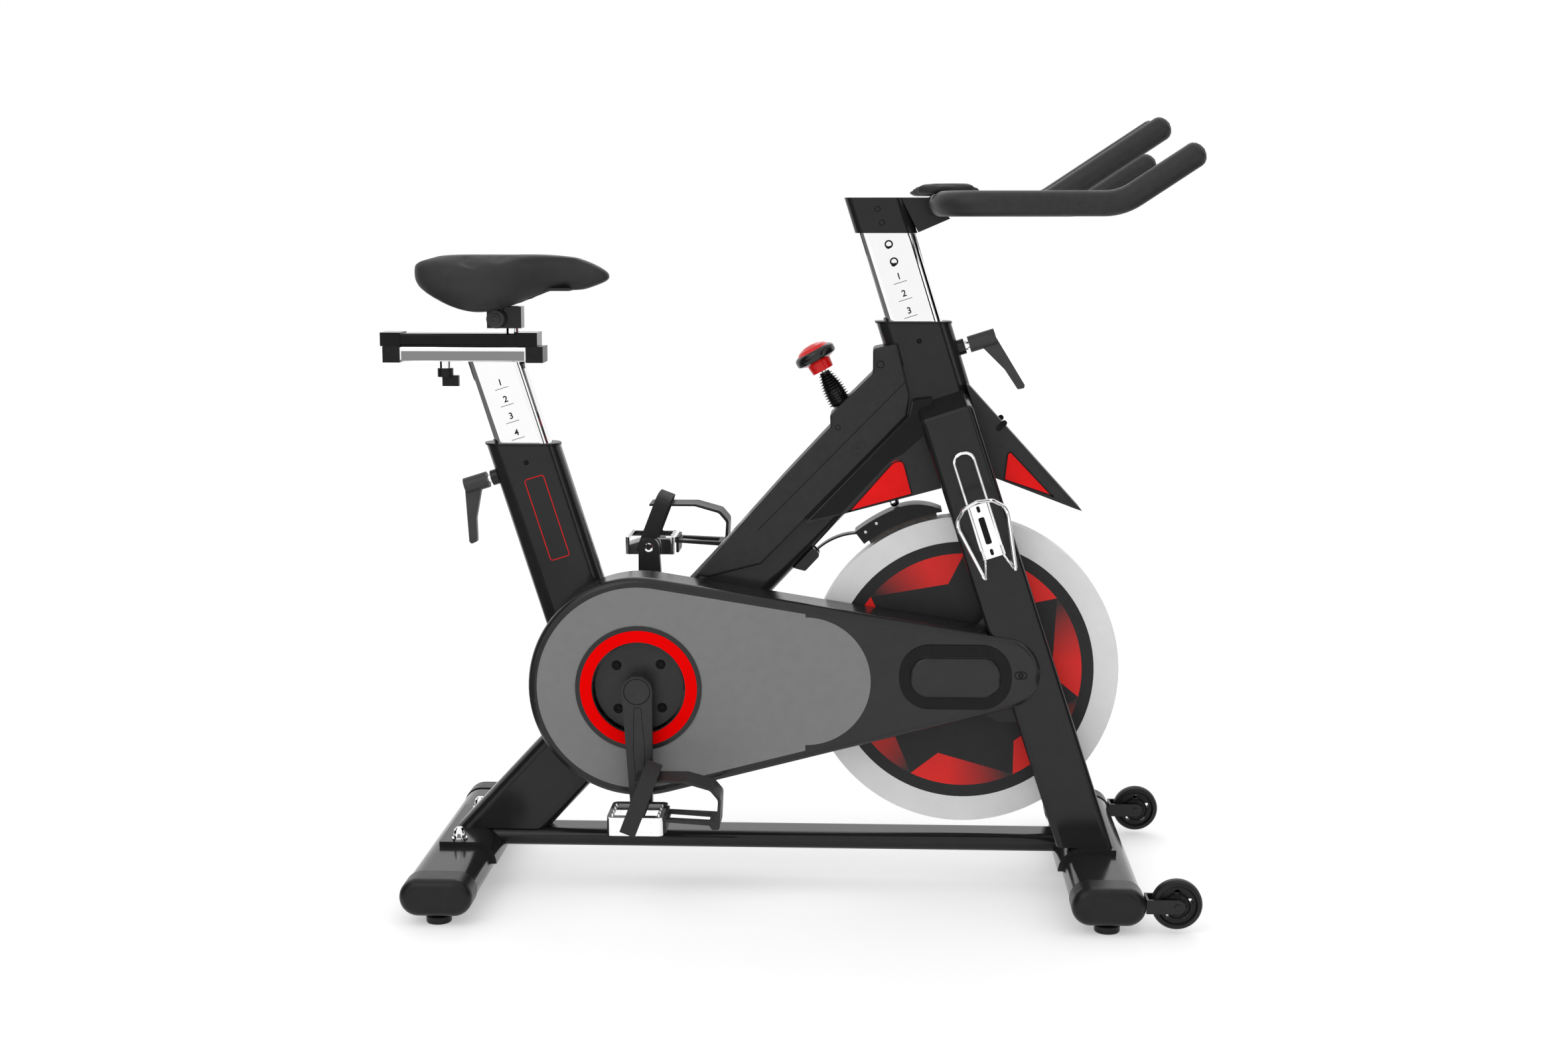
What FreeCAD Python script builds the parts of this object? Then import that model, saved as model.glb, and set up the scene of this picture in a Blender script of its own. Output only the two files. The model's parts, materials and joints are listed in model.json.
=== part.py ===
import FreeCAD, Part
import math
import os
import Sketcher
from FreeCAD import Placement, Rotation, Vector

# Indoor spin bike, millimetres. +X is forward, +Y the rider's left, +Z up; the origin lies on the
# floor below the middle of the bike. The belt drive and its guard are on the right (-Y) side.

SIZES = {
    # frame tubes
    "beam_angle": 47.2, "tube_width": 98, "tube_depth": 52, "tube_wall": 3, "tube_corner": 22,
    "foot_level": 70, "beam_top": 738, "beam_start": 238,
    "post_lean": 17.5, "post_width": 76.3, "post_depth": 38, "post_wall": 2.5, "post_corner": 14,
    "seat_top_x": -366.5, "seat_top_z": 622.5, "head_top_x": 178, "head_top_z": 793,
    "head_bottom_z": 612, "liner_height": 32, "lip_height": 3, "lip_overhang": 1.5, "slide_gap": 0.3,
    "base_width": 60, "base_height": 25, "plate_thickness": 7, "plate_half": 94,
    # fork
    "leg_lean": 18.2, "leg_width": 74, "leg_foot_x": 420.5, "dropout_clear": 2, "leg_depth": 34,
    "leg_wall": 2.5, "leg_corner": 9, "shoulder_z": 690, "shoulder_drop": 18, "dropout_thickness": 5,
    # stabilisers and what stands on the floor
    "stab_front_x": 437, "stab_rear_x": -453, "stab_width": 95, "stab_height": 48, "stab_z": 39,
    "stab_half": 254, "stab_wall": 2.5, "cap_length": 46, "cap_wall": 1.5, "cap_round": 13,
    "foot_inset": 30, "foot_radius": 17, "foot_disc": 9, "foot_stud": 5,
    "caster_clear": 4.5, "caster_z": 39.6, "caster_inset": 26.4, "caster_radius": 33.5,
    "caster_width": 22, "caster_arm": 19, "caster_plate": 3, "caster_pin": 4, "bolt_radius": 5,
    "rear_bolt_y": 78, "front_bolt_y": 30,
    # drive
    "crank_x": -197, "crank_z": 291.5, "crank_length": 166, "crank_tilt": 1.8, "crank_clear": 8,
    "crank_thickness": 14, "crank_boss": 21, "crank_end": 15, "crank_axle_radius": 10, "shell_radius": 30,
    "wheel_x": 251.5, "wheel_z": 306, "wheel_radius": 217, "rim_inner": 182, "wheel_half": 20,
    "web_thickness": 8, "hub_radius": 34, "axle_radius": 10, "bearing_radius": 21, "bearing_width": 12,
    "small_pulley": 28, "large_pulley": 100, "belt_clear": 1.5, "belt_width": 14, "belt_thickness": 3,
    "bearing_play": 0.05, "drive_disc_radius": 61.5, "drive_disc_face": 80, "disc_bolt": 30.5,
    # pedals
    "pedal_length": 76, "pedal_depth": 80, "pedal_height": 25, "pedal_gap": 4, "spindle_radius": 6,
    "cage_reach": 77, "cage_height": 60,
    # belt guard
    "guard_radius": 154, "nose_x": 305.5, "nose_z": 316.3, "nose_radius": 50.3, "guard_depth": 6,
    "guard_split": 45, "guard_clear": 1, "guard_thin": 2.5, "guard_wall": 3.5, "guard_round": 10,
    "guard_hole": 64, "ring_outer": 81, "ring_inner": 65, "lip_outer": 87.5, "panel_inset": 13,
    "panel_end_x": 122.8, "panel_end_radius": 89.5, "panel_thickness": 0.8, "ring_thickness": 2.5,
    # seat carrier and saddle
    "rail_x": -445.5, "rail_length": 220, "carriage_x": -450.75, "rail_half": 20, "rail_bottom": 736,
    "rail_top": 757,
    "rail_wall": 2.5, "slot_half": 6, "carriage_length": 203.5, "carriage_height": 17.5,
    "stub_x": -378.3, "stub_radius": 10, "clamp_bottom": 782, "pivot_x": -397.7,
    "pivot_z": 795.5, "pivot_radius": 13.5, "knob_x": -474, "knob_radius": 11, "knob_stud": 4,
    # handlebar
    "bar_radius": 16.2, "bar_wall": 2, "bar_x": 213.5, "bar_z": 951.5, "bar_half": 238,
    "bar_bend_x": 432.7, "bar_rise": 33.5, "bar_reach": 109, "aero_half": 50, "aero_bend_x": 353.7,
    "aero_reach": 181, "head_low": 913, "head_high": 961, "pad_half": 130,
    # pull-pin levers
    "seat_pin_z": 574, "head_pin_z": 756, "pin_radius": 5, "pin_boss": 11, "boss_length": 9,
    "barrel_radius": 11.5, "barrel_start": 15, "seat_barrel_end": 49, "head_barrel_end": 53,
    "arm_length": 80, "arm_depth": 11,
    # brake
    "brake_lean": 28.5, "brake_x": 42.7, "brake_z": 745.6, "rod_radius": 4, "rod_guide": 9,
    "knob_disc": 28.5, "knob_base": 15.5, "pad_gap": 3, "pad_thickness": 6, "shoe_start": 98,
    "shoe_end": 128, "shoe_height": 21, "shoe_half": 22, "brake_pivot_along": 290.4,
    "brake_pivot_below": 7, "pivot_pin": 2.5, "pivot_eye": 5.5, "leaf_half": 9, "foot_ball": 7,
    # sheet and moulded covers
    "shroud_half": 36, "shroud_wall": 2.5, "fender_half": 40, "fender_wall": 2.5,
    "wire_radius": 2.5, "bottle_radius": 37,
}

# places that follow from the sizes
PLACES = {
    "foot_y": "=stab_half - foot_inset",
    "caster_y": "=stab_half - caster_inset",
    "caster_x": "=stab_front_x + stab_width / 2 + cap_wall + caster_plate + caster_clear + caster_radius",
    "guard_back": "=tube_depth / 2 + guard_clear",
    "belt_inner": "=guard_back + guard_thin + belt_clear",
    "leg_outer": "=belt_inner + belt_width + dropout_clear + dropout_thickness + leg_depth",
    "guard_face": "=leg_outer + guard_depth",
    "crank_inner": "=guard_face + crank_clear",
    "crank_outer": "=crank_inner + crank_thickness",
}

doc = FreeCAD.newDocument("SpinBike")
dim = doc.addObject("Spreadsheet::Sheet", "Dims")
for row, (word, value) in enumerate((SIZES | PLACES).items(), start=1):
    dim.set(f"A{row}", word)
    dim.set(f"B{row}", str(value))
    dim.setAlias(f"B{row}", word)
doc.recompute()

NODES = []
X_AXIS, Y_AXIS, Z_AXIS = Vector(1, 0, 0), Vector(0, 1, 0), Vector(0, 0, 1)
POST_TAN = math.tan(math.radians(dim.post_lean))
POST_COS = math.cos(math.radians(dim.post_lean))
POST_SIN = math.sin(math.radians(dim.post_lean))
BEAM_TAN = math.tan(math.radians(dim.beam_angle))
BEAM_SIN = math.sin(math.radians(dim.beam_angle))
LEG_TAN = math.tan(math.radians(dim.leg_lean))


# ---- helpers -------------------------------------------------------------------------------

def rounded(points, radii):
    """closed outline through the points, each corner rounded by its radius"""
    corners = [Vector(x, y, 0) for x, y in points]
    if not isinstance(radii, (list, tuple)):
        radii = [radii] * len(corners)
    ends = []
    for i, corner in enumerate(corners):
        before = (corners[i - 1] - corner).normalize()
        after = (corners[(i + 1) % len(corners)] - corner).normalize()
        half = before.getAngle(after) / 2
        if radii[i] <= 0:
            ends.append((corner, None, corner))
            continue
        reach = radii[i] / math.tan(half)
        middle = (before + after).normalize() * (radii[i] / math.sin(half) - radii[i])
        ends.append((corner + before * reach, corner + middle, corner + after * reach))
    edges = []
    for i, (start, middle, end) in enumerate(ends):
        if middle is not None:
            edges.append(Part.Arc(start, middle, end))
        following = ends[(i + 1) % len(ends)][0]
        if (following - end).Length > 1e-6:
            edges.append(Part.LineSegment(end, following))
    return edges


def oval(centre_x, centre_y, width, height, corner):
    x, y = width / 2, height / 2
    box = [(centre_x - x, centre_y - y), (centre_x + x, centre_y - y),
           (centre_x + x, centre_y + y), (centre_x - x, centre_y + y)]
    return rounded(box, corner)


def new_sketch(body, role, offset=0.0):
    sketch = body.newObject("Sketcher::SketchObject", body.Label + "_sketch")
    plane = [item for item in body.Origin.OriginFeatures if item.Role == role][0]
    sketch.AttachmentSupport = [(plane, "")]
    sketch.MapMode = "FlatFace"
    sketch.AttachmentOffset = Placement(Vector(0, 0, offset), Rotation())
    return sketch


def draw(sketch, *outlines):
    for outline in outlines:
        for edge in outline:
            sketch.addGeometry(edge, False)


def new_body(label):
    body = doc.addObject("PartDesign::Body", label)
    body.Label = label
    return body


def pad(body, sketch, length):
    feature = body.newObject("PartDesign::Pad", body.Label + "_pad")
    feature.Profile = sketch
    feature.setExpression("Length", length)
    return feature


def side_pad(label, outlines, high_y, length):
    """plate outlined in X and Z, reaching from high_y towards -Y by the length formula"""
    body = new_body(label)
    sketch = new_sketch(body, "XZ_Plane", -high_y)
    draw(sketch, *outlines)
    pad(body, sketch, length)
    return body


def cross_pad(label, outlines, low_x, length):
    """bar outlined in Y and Z, reaching from low_x towards +X"""
    body = new_body(label)
    sketch = new_sketch(body, "YZ_Plane", low_x)
    draw(sketch, *outlines)
    pad(body, sketch, length)
    return body


def level_pad(label, outlines, low_z, length):
    body = new_body(label)
    sketch = new_sketch(body, "XY_Plane", low_z)
    draw(sketch, *outlines)
    pad(body, sketch, length)
    return body


def leaning(label, outlines, low_z, height, direction):
    """tube with level ends whose axis runs along the direction"""
    body = new_body(label)
    sketch = new_sketch(body, "XY_Plane", low_z)
    draw(sketch, *outlines)
    feature = pad(body, sketch, height)
    feature.UseCustomVector = True
    feature.Direction = direction
    feature.AlongSketchNormal = True
    return body


def turned(label, profile, base, axis):
    """solid of revolution: profile of (radius, height) corners about the axis through base"""
    body = new_body(label)
    sketch = new_sketch(body, "XZ_Plane")
    draw(sketch, rounded(profile, 0))
    feature = body.newObject("PartDesign::Revolution", label + "_turn")
    feature.Profile = sketch
    feature.ReferenceAxis = (sketch, ["V_Axis"])
    feature.Angle = 360
    body.Placement = Placement(base, Rotation(Z_AXIS, axis))
    return body


def cylinder(label, radius, height, base, axis):
    """plain round bar; radius and height are formulas on the sheet"""
    item = doc.addObject("Part::Cylinder", label)
    item.setExpression("Radius", radius)
    item.setExpression("Height", height)
    item.Placement = Placement(base, Rotation(Z_AXIS, axis))
    return item


def block(label, low, high):
    item = doc.addObject("Part::Box", label)
    item.Length, item.Width, item.Height = high[0] - low[0], high[1] - low[1], high[2] - low[2]
    item.Placement = Placement(Vector(*low), Rotation())
    return item


def fuse(label, *items):
    joined = doc.addObject("Part::MultiFuse", label)
    joined.Shapes = list(items)
    joined.Refine = True
    return joined


def cut(label, base, *tools):
    result = doc.addObject("Part::Cut", label)
    result.Base = base
    result.Tool = tools[0] if len(tools) == 1 else fuse(label + "_tools", *tools)
    return result


def group(label, *items):
    together = doc.addObject("Part::Compound", label)
    together.Links = list(items)
    return together


def mirrored(label, item):
    """the same piece on the other side of the bike"""
    other = doc.addObject("Part::Mirroring", label)
    other.Source = item
    other.Base = Vector(0, 0, 0)
    other.Normal = Y_AXIS
    return other


def node(name, item):
    item.Label = name
    NODES.append(item)
    return item


def round_edges(body, radius, chosen):
    """fillet on the edges of the body's last feature that the test picks"""
    doc.recompute()
    base = body.Tip
    names = [f"Edge{i}" for i, edge in enumerate(base.Shape.Edges, start=1) if chosen(edge)]
    feature = body.newObject("PartDesign::Fillet", body.Label + "_fillet")
    feature.Base = (base, names)
    feature.setExpression("Radius", radius)
    body.Tip = feature
    return feature


def bent_path(label, points, radii):
    """line through the points with an arc at each inner point"""
    spots = [Vector(*point) for point in points]
    edges, start = [], spots[0]
    for i in range(1, len(spots) - 1):
        before = (spots[i - 1] - spots[i]).normalize()
        after = (spots[i + 1] - spots[i]).normalize()
        half = before.getAngle(after) / 2
        reach = radii[i - 1] / math.tan(half)
        inward = (before + after).normalize() * (radii[i - 1] / math.sin(half) - radii[i - 1])
        first, last = spots[i] + before * reach, spots[i] + after * reach
        if (first - start).Length > 1e-6:
            edges.append(Part.LineSegment(start, first).toShape())
        edges.append(Part.Arc(first, spots[i] + inward, last).toShape())
        start = last
    edges.append(Part.LineSegment(start, spots[-1]).toShape())
    path = doc.addObject("Part::Feature", label + "_path")
    path.Shape = Part.Wire(edges)
    return path


def swept(label, path, radius):
    """round bar along a path"""
    first = path.Shape.Edges[0]
    start = first.valueAt(first.FirstParameter)
    ring = doc.addObject("Part::Circle", label + "_ring")
    ring.setExpression("Radius", radius)
    ring.Placement = Placement(start, Rotation(Z_AXIS, first.tangentAt(first.FirstParameter)))
    sweep = doc.addObject("Part::Sweep", label)
    sweep.Sections = [ring]
    sweep.Spine = (path, [f"Edge{i + 1}" for i in range(len(path.Shape.Edges))])
    sweep.Solid = True
    sweep.Frenet = False
    return sweep


def seat_x(level):
    return dim.seat_top_x + (dim.seat_top_z - level) * POST_TAN


def head_x(level):
    return dim.head_top_x + (dim.head_top_z - level) * POST_TAN


def beam_x(level):
    return dim.crank_x + (level - dim.crank_z) / BEAM_TAN


def leg_x(level):
    return dim.leg_foot_x - (level - dim.foot_level) * LEG_TAN


POST_UP = Vector(-POST_SIN, 0, POST_COS)
BEAM_UP = Vector(math.cos(math.radians(dim.beam_angle)), 0, BEAM_SIN)
LEG_UP = Vector(-math.sin(math.radians(dim.leg_lean)), 0, math.cos(math.radians(dim.leg_lean)))
BRAKE_UP = Vector(-math.sin(math.radians(dim.brake_lean)), 0, math.cos(math.radians(dim.brake_lean)))


def leaning_oval(centre_x, width, depth, corner, slope):
    """level section of a tube of the given width and depth whose axis leans"""
    return oval(centre_x, 0, width / slope, depth, corner)


# ---- diagonal beam, seat tube, head tube ---------------------------------------------------

def beam_section(inset):
    return leaning_oval(beam_x(dim.foot_level), dim.tube_width - 2 * inset, dim.tube_depth - 2 * inset,
                        dim.tube_corner - inset, BEAM_SIN)


def post_tube_section(centre_x, inset):
    return leaning_oval(centre_x, dim.tube_width - 2 * inset, dim.tube_depth - 2 * inset,
                        dim.tube_corner - inset, POST_COS)


def beam_solid(label):
    return leaning(label, [beam_section(0)], dim.foot_level, "Dims.beam_top - Dims.foot_level", BEAM_UP)


def head_solid(label):
    low = dim.head_bottom_z - 60
    return leaning(label, [post_tube_section(head_x(low), 0)], low,
                   "Dims.head_top_z - Dims.head_bottom_z + 140", POST_UP)


def rod_hole(label):
    start = Vector(dim.brake_x, 0, dim.brake_z)
    return cylinder(label, "Dims.rod_guide", "400", start, BRAKE_UP * -1)


def beam_point(along, below):
    """point beside the beam: distance along it from the crank, and square to it on its underside"""
    slope = math.radians(dim.beam_angle)
    return (dim.crank_x + along * math.cos(slope) + below * math.sin(slope),
            dim.crank_z + along * math.sin(slope) - below * math.cos(slope))


def make_beam():
    tube = leaning("beam_tube", [beam_section(0), beam_section(dim.tube_wall)], dim.foot_level,
                   "Dims.beam_top - Dims.foot_level", BEAM_UP)
    low = dim.head_bottom_z - 60
    ahead = leaning("ahead_of_head", [rounded([(head_x(low), -60), (head_x(low) + 260, -60),
                                               (head_x(low) + 260, 60), (head_x(low), 60)], 0)],
                    low, "Dims.head_top_z - Dims.head_bottom_z + 140", POST_UP)
    across = Vector(dim.crank_x, -dim.tube_depth / 2, dim.crank_z)
    shell = cylinder("crank_shell", "Dims.shell_radius", "Dims.tube_depth", across, Y_AXIS)
    shell_bore = cylinder("crank_shell_bore", "Dims.bearing_radius", "Dims.tube_depth", across, Y_AXIS)
    out = dim.tube_width / 2
    at, below = dim.brake_pivot_along, out + dim.brake_pivot_below
    ears = side_pad("pivot_ears", [rounded([beam_point(at - 32, out - 1), beam_point(at + 8, out - 1),
                                            beam_point(at + 8, below + 7), beam_point(at - 24, below + 7)],
                                           [0, 0, 6, 4])], 16, "32")
    slot = side_pad("pivot_slot", [rounded([beam_point(at - 8, out), beam_point(at + 9, out),
                                            beam_point(at + 9, below + 8), beam_point(at - 8, below + 8)],
                                           0)], dim.leaf_half + 1, "2 * Dims.leaf_half + 2")
    pivot_x, pivot_z = beam_point(at, below)
    pivot_pin = cylinder("pivot_pin", "Dims.pivot_pin", "30", Vector(pivot_x, -15, pivot_z), Y_AXIS)
    bracket = fuse("leaf_bracket", cut("pivot_fork", ears, slot), pivot_pin)
    trimmed = cut("beam_trimmed", tube, head_solid("head_in_beam"), ahead, rod_hole("rod_in_beam"))
    node("main_beam", cut("main_beam", fuse("beam_joined", trimmed, shell, bracket), shell_bore))


def pin_seat(level, top_x_of, side):
    """point on the tube's face where the pull pin enters, and the pin's outward direction"""
    outward = Vector(POST_COS, 0, POST_SIN) * side
    face = Vector(top_x_of(level) + side * dim.tube_width / 2 / POST_COS, 0, level)
    return face, outward


def make_post_tube(name, top_x_of, low_z, pin_z, side, *cutters):
    face, outward = pin_seat(pin_z, top_x_of, side)
    height = f"Dims.{'seat' if side < 0 else 'head'}_top_z - Dims.lip_height - {low_z}"
    tube = leaning(name + "_tube", [post_tube_section(top_x_of(low_z), 0)], low_z, height, POST_UP)
    boss = cylinder(name + "_boss", "Dims.pin_boss", "Dims.boss_length + Dims.tube_wall",
                    face - outward * dim.tube_wall, outward)
    inside = leaning(name + "_inside", [post_tube_section(top_x_of(low_z), dim.tube_wall)], low_z,
                     height, POST_UP)
    pin = cylinder(name + "_pin_hole", "Dims.pin_radius + Dims.bearing_play", "40",
                   face - outward * 20, outward)
    node(name, cut(name, fuse(name + "_outer", tube, boss), inside, pin, *cutters))


def make_liner(label, top_x_of, top_z):
    low = top_z - dim.liner_height
    lip_low = top_z - dim.lip_height
    section = leaning_oval(top_x_of(low), dim.tube_width - 2 * dim.tube_wall,
                           dim.tube_depth - 2 * dim.tube_wall, dim.tube_corner - dim.tube_wall, POST_COS)
    sleeve = leaning(label + "_sleeve", [section], low, "Dims.liner_height", POST_UP)
    lip = leaning(label + "_lip", [post_tube_section(top_x_of(lip_low), -dim.lip_overhang)], lip_low,
                  "Dims.lip_height", POST_UP)
    opening = leaning_oval(top_x_of(low), dim.post_width + 2 * dim.slide_gap,
                           dim.post_depth + 2 * dim.slide_gap, dim.post_corner + dim.slide_gap, POST_COS)
    return cut(label, fuse(label + "_solid", sleeve, lip),
               leaning(label + "_opening", [opening], low, "Dims.liner_height", POST_UP))


def stab_section(x, thinner=0):
    """outline of a stabiliser's tube, made smaller all round by thinner"""
    height = dim.stab_height - 2 * thinner
    return oval(x, dim.stab_z, dim.stab_width - 2 * thinner, height, height / 2 - 0.1)


def make_base():
    """low rail between the stabilisers with the two bent saddle plates that carry the frame"""
    top = dim.foot_level
    outer = dim.stab_height / 2 + dim.plate_thickness
    rear = dim.stab_rear_x + dim.stab_width / 2 - dim.stab_height / 2
    front = dim.stab_front_x - dim.stab_width / 2 + dim.stab_height / 2
    bar = cross_pad("base_bar", [oval(0, top - dim.base_height / 2, dim.base_width, dim.base_height, 12),
                                 oval(0, top - dim.base_height / 2, dim.base_width - 5,
                                      dim.base_height - 5, 9.5)],
                    rear + 14, f"{front - rear - 28}")
    rounds = [cylinder(f"bend_{x:.0f}", f"Dims.stab_height / 2 + Dims.plate_thickness",
                       "2 * Dims.plate_half", Vector(x, -dim.plate_half, dim.stab_z), Y_AXIS)
              for x in (rear, front)]
    base = cut("base_bar_coped", bar, *rounds)
    plates = []
    for centre, side in ((rear, 1), (front, -1)):
        inner = dim.stab_height / 2
        far = centre - side * (dim.stab_width - dim.stab_height + 2)
        bend = math.sqrt(0.5)
        arc_out = Part.Arc(Vector(centre, dim.stab_z + outer, 0),
                           Vector(centre + side * outer * bend, dim.stab_z + outer * bend, 0),
                           Vector(centre + side * outer, dim.stab_z, 0))
        arc_in = Part.Arc(Vector(centre + side * inner, dim.stab_z, 0),
                          Vector(centre + side * inner * bend, dim.stab_z + inner * bend, 0),
                          Vector(centre, dim.stab_z + inner, 0))
        outline = [Part.LineSegment(Vector(far, top, 0), Vector(centre, top, 0)), arc_out,
                   Part.LineSegment(Vector(centre + side * outer, dim.stab_z, 0),
                                    Vector(centre + side * inner, dim.stab_z, 0)), arc_in,
                   Part.LineSegment(Vector(centre, top - dim.plate_thickness, 0),
                                    Vector(far, top - dim.plate_thickness, 0)),
                   Part.LineSegment(Vector(far, top - dim.plate_thickness, 0), Vector(far, top, 0))]
        plate = side_pad(f"plate_{side}", [outline], dim.plate_half, "2 * Dims.plate_half")
        plates.append(plate)
    holes = [cylinder(f"plate_hole_{i}", "Dims.bolt_radius", "20", Vector(x, y, top - 15), Z_AXIS)
             for i, (x, y) in enumerate(bolt_places())]
    spaces = [side_pad(f"stab_space_{x:.0f}", [stab_section(x)], dim.plate_half + 1,
                       "2 * Dims.plate_half + 2")
              for x in (dim.stab_rear_x, dim.stab_front_x)]
    node("base_rail", cut("base_rail", fuse("base_joined", base, *plates), *holes, *spaces))


# ---- fork ----------------------------------------------------------------------------------

def leg_frame():
    """leg's own frame: z along the leg from its foot, x across it, y sideways"""
    return Placement(Vector(dim.leg_foot_x, 0, dim.foot_level), Rotation(Z_AXIS, LEG_UP))


def leg_prism(label, inset, foot_drop):
    outer, inner = -dim.leg_outer + inset, -dim.leg_outer + dim.leg_depth - inset
    top = (dim.shoulder_z - dim.foot_level) / math.cos(math.radians(dim.leg_lean)) - inset
    root = -dim.tube_depth / 2
    outline = [(outer, -foot_drop), (outer, top - dim.shoulder_drop), (root, top),
               (root, top - 40 + 2 * inset), (inner, top - 62 + 2 * inset), (inner, -foot_drop)]
    body = new_body(label)
    sketch = new_sketch(body, "YZ_Plane", -(dim.leg_width / 2 - inset))
    draw(sketch, rounded(outline, [0, 6, 0, 0, 8, 0]))
    pad(body, sketch, f"Dims.leg_width - {2 * inset}")
    if inset == 0:
        round_edges(body, "Dims.leg_corner",
                    lambda edge: edge.Length > 400 and abs(edge.BoundBox.XLength) < 0.01)
    body.Placement = leg_frame()
    return body


def dropout_outline(grow):
    rear = dim.wheel_x
    back = leg_x(240) - dim.leg_width / 2 / math.cos(math.radians(dim.leg_lean))
    points = [(leg_x(240), 240 - grow), (back - 26 - grow, 240 - grow),
              (rear - 18 - grow, dim.wheel_z - 26), (rear - 22 - grow, dim.wheel_z + 26),
              (back - 46 - grow, 389 + grow), (leg_x(389), 389 + grow)]
    return rounded(points, [0, 6, 14, 14, 8, 0])


def make_fork():
    inner = dim.leg_outer - dim.leg_depth
    floor = block("below_foot", (300, -200, 0), (560, 200, dim.foot_level))
    legs = cut("right_leg", leg_prism("leg_outer", 0, 30), leg_prism("leg_inner", dim.leg_wall, 60), floor)
    plate = side_pad("dropout", [dropout_outline(0)], -inner + dim.dropout_thickness,
                     "Dims.dropout_thickness")
    hole = cylinder("dropout_hole", "Dims.axle_radius", "40",
                    Vector(dim.wheel_x, -inner - 20, dim.wheel_z), Y_AXIS)
    dropout = cut("right_dropout", plate, hole)
    node("fork_legs", group("fork_legs", legs, dropout, mirrored("left_leg", legs),
                            mirrored("left_dropout", dropout)))


# ---- stabilisers, caps, bolts, feet, casters ------------------------------------------------

def bolt_places():
    return [(x, y * side) for x, y in ((dim.stab_rear_x, dim.rear_bolt_y),
                                       (dim.stab_front_x, dim.front_bolt_y)) for side in (-1, 1)]


def make_stabilisers():
    bars, caps, bolts = [], [], []
    holes = [cylinder(f"foot_hole_{i}", "Dims.foot_stud + Dims.bearing_play", "30",
                      Vector(x, y, 0), Z_AXIS)
             for i, (x, y) in enumerate((x, y * dim.foot_y) for x in (dim.stab_rear_x, dim.stab_front_x)
                                        for y in (-1, 1))]
    holes += [cylinder(f"bolt_hole_{i}", "Dims.bolt_radius", "20", Vector(x, y, dim.stab_z + 12), Z_AXIS)
              for i, (x, y) in enumerate(bolt_places())]
    tube_half = dim.stab_half - dim.cap_length / 4
    for x in (dim.stab_rear_x, dim.stab_front_x):
        tube = side_pad(f"stab_tube_{x:.0f}",
                        [stab_section(x), stab_section(x, dim.stab_wall)],
                        tube_half, f"{2 * tube_half}")
        bars.append(tube)
        cap = side_pad(f"cap_{x:.0f}", [stab_section(x, -dim.cap_wall)], -dim.stab_half + dim.cap_length,
                       "Dims.cap_length")
        round_edges(cap, "Dims.cap_round", lambda edge: abs(edge.BoundBox.YMax + dim.stab_half) < 0.01)
        hollow = side_pad(f"cap_hollow_{x:.0f}", [stab_section(x)], 0, f"{tube_half}")
        right = cut(f"right_cap_{x:.0f}", cap, hollow,
                    cylinder(f"cap_hole_{x:.0f}", "Dims.foot_stud + Dims.bearing_play", "30",
                             Vector(x, -dim.foot_y, 0), Z_AXIS))
        caps += [right, mirrored(f"left_cap_{x:.0f}", right)]
    low, top = dim.stab_z + dim.stab_height / 2 - dim.stab_wall, dim.foot_level
    profile = [(0, low - 8), (8.5, low - 8), (8.5, low), (dim.bolt_radius, low), (dim.bolt_radius, top),
               (11, top), (11, top + 2), (8.5, top + 2), (8.5, top + 9), (7.6, top + 13),
               (4.5, top + 16.5), (0, top + 17.5)]
    for i, (x, y) in enumerate(bolt_places()):
        bolts.append(turned(f"bolt_{i}", profile, Vector(x, y, 0), Z_AXIS))
    node("stabilisers", cut("stabilisers", group("stab_pair", *bars), *holes))
    node("stabiliser_caps", group("stabiliser_caps", *caps))
    node("stabiliser_bolts", group("stabiliser_bolts", *bolts))


def make_feet():
    under = dim.stab_z - dim.stab_height / 2 - dim.cap_wall
    profile = [(0, 0), (dim.foot_radius - 1, 0), (dim.foot_radius, 1.5), (dim.foot_radius, dim.foot_disc),
               (dim.foot_radius - 1.5, dim.foot_disc + 1), (9, dim.foot_disc + 1),
               (9, under - dim.slide_gap), (dim.foot_stud, under - dim.slide_gap),
               (dim.foot_stud, dim.stab_z), (0, dim.stab_z)]
    for end, x in (("front", dim.stab_front_x), ("rear", dim.stab_rear_x)):
        for side, y in (("right", -dim.foot_y), ("left", dim.foot_y)):
            name = f"{end}_{side}_foot"
            node(name, turned(name, profile, Vector(x, y, 0), Z_AXIS))


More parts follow.
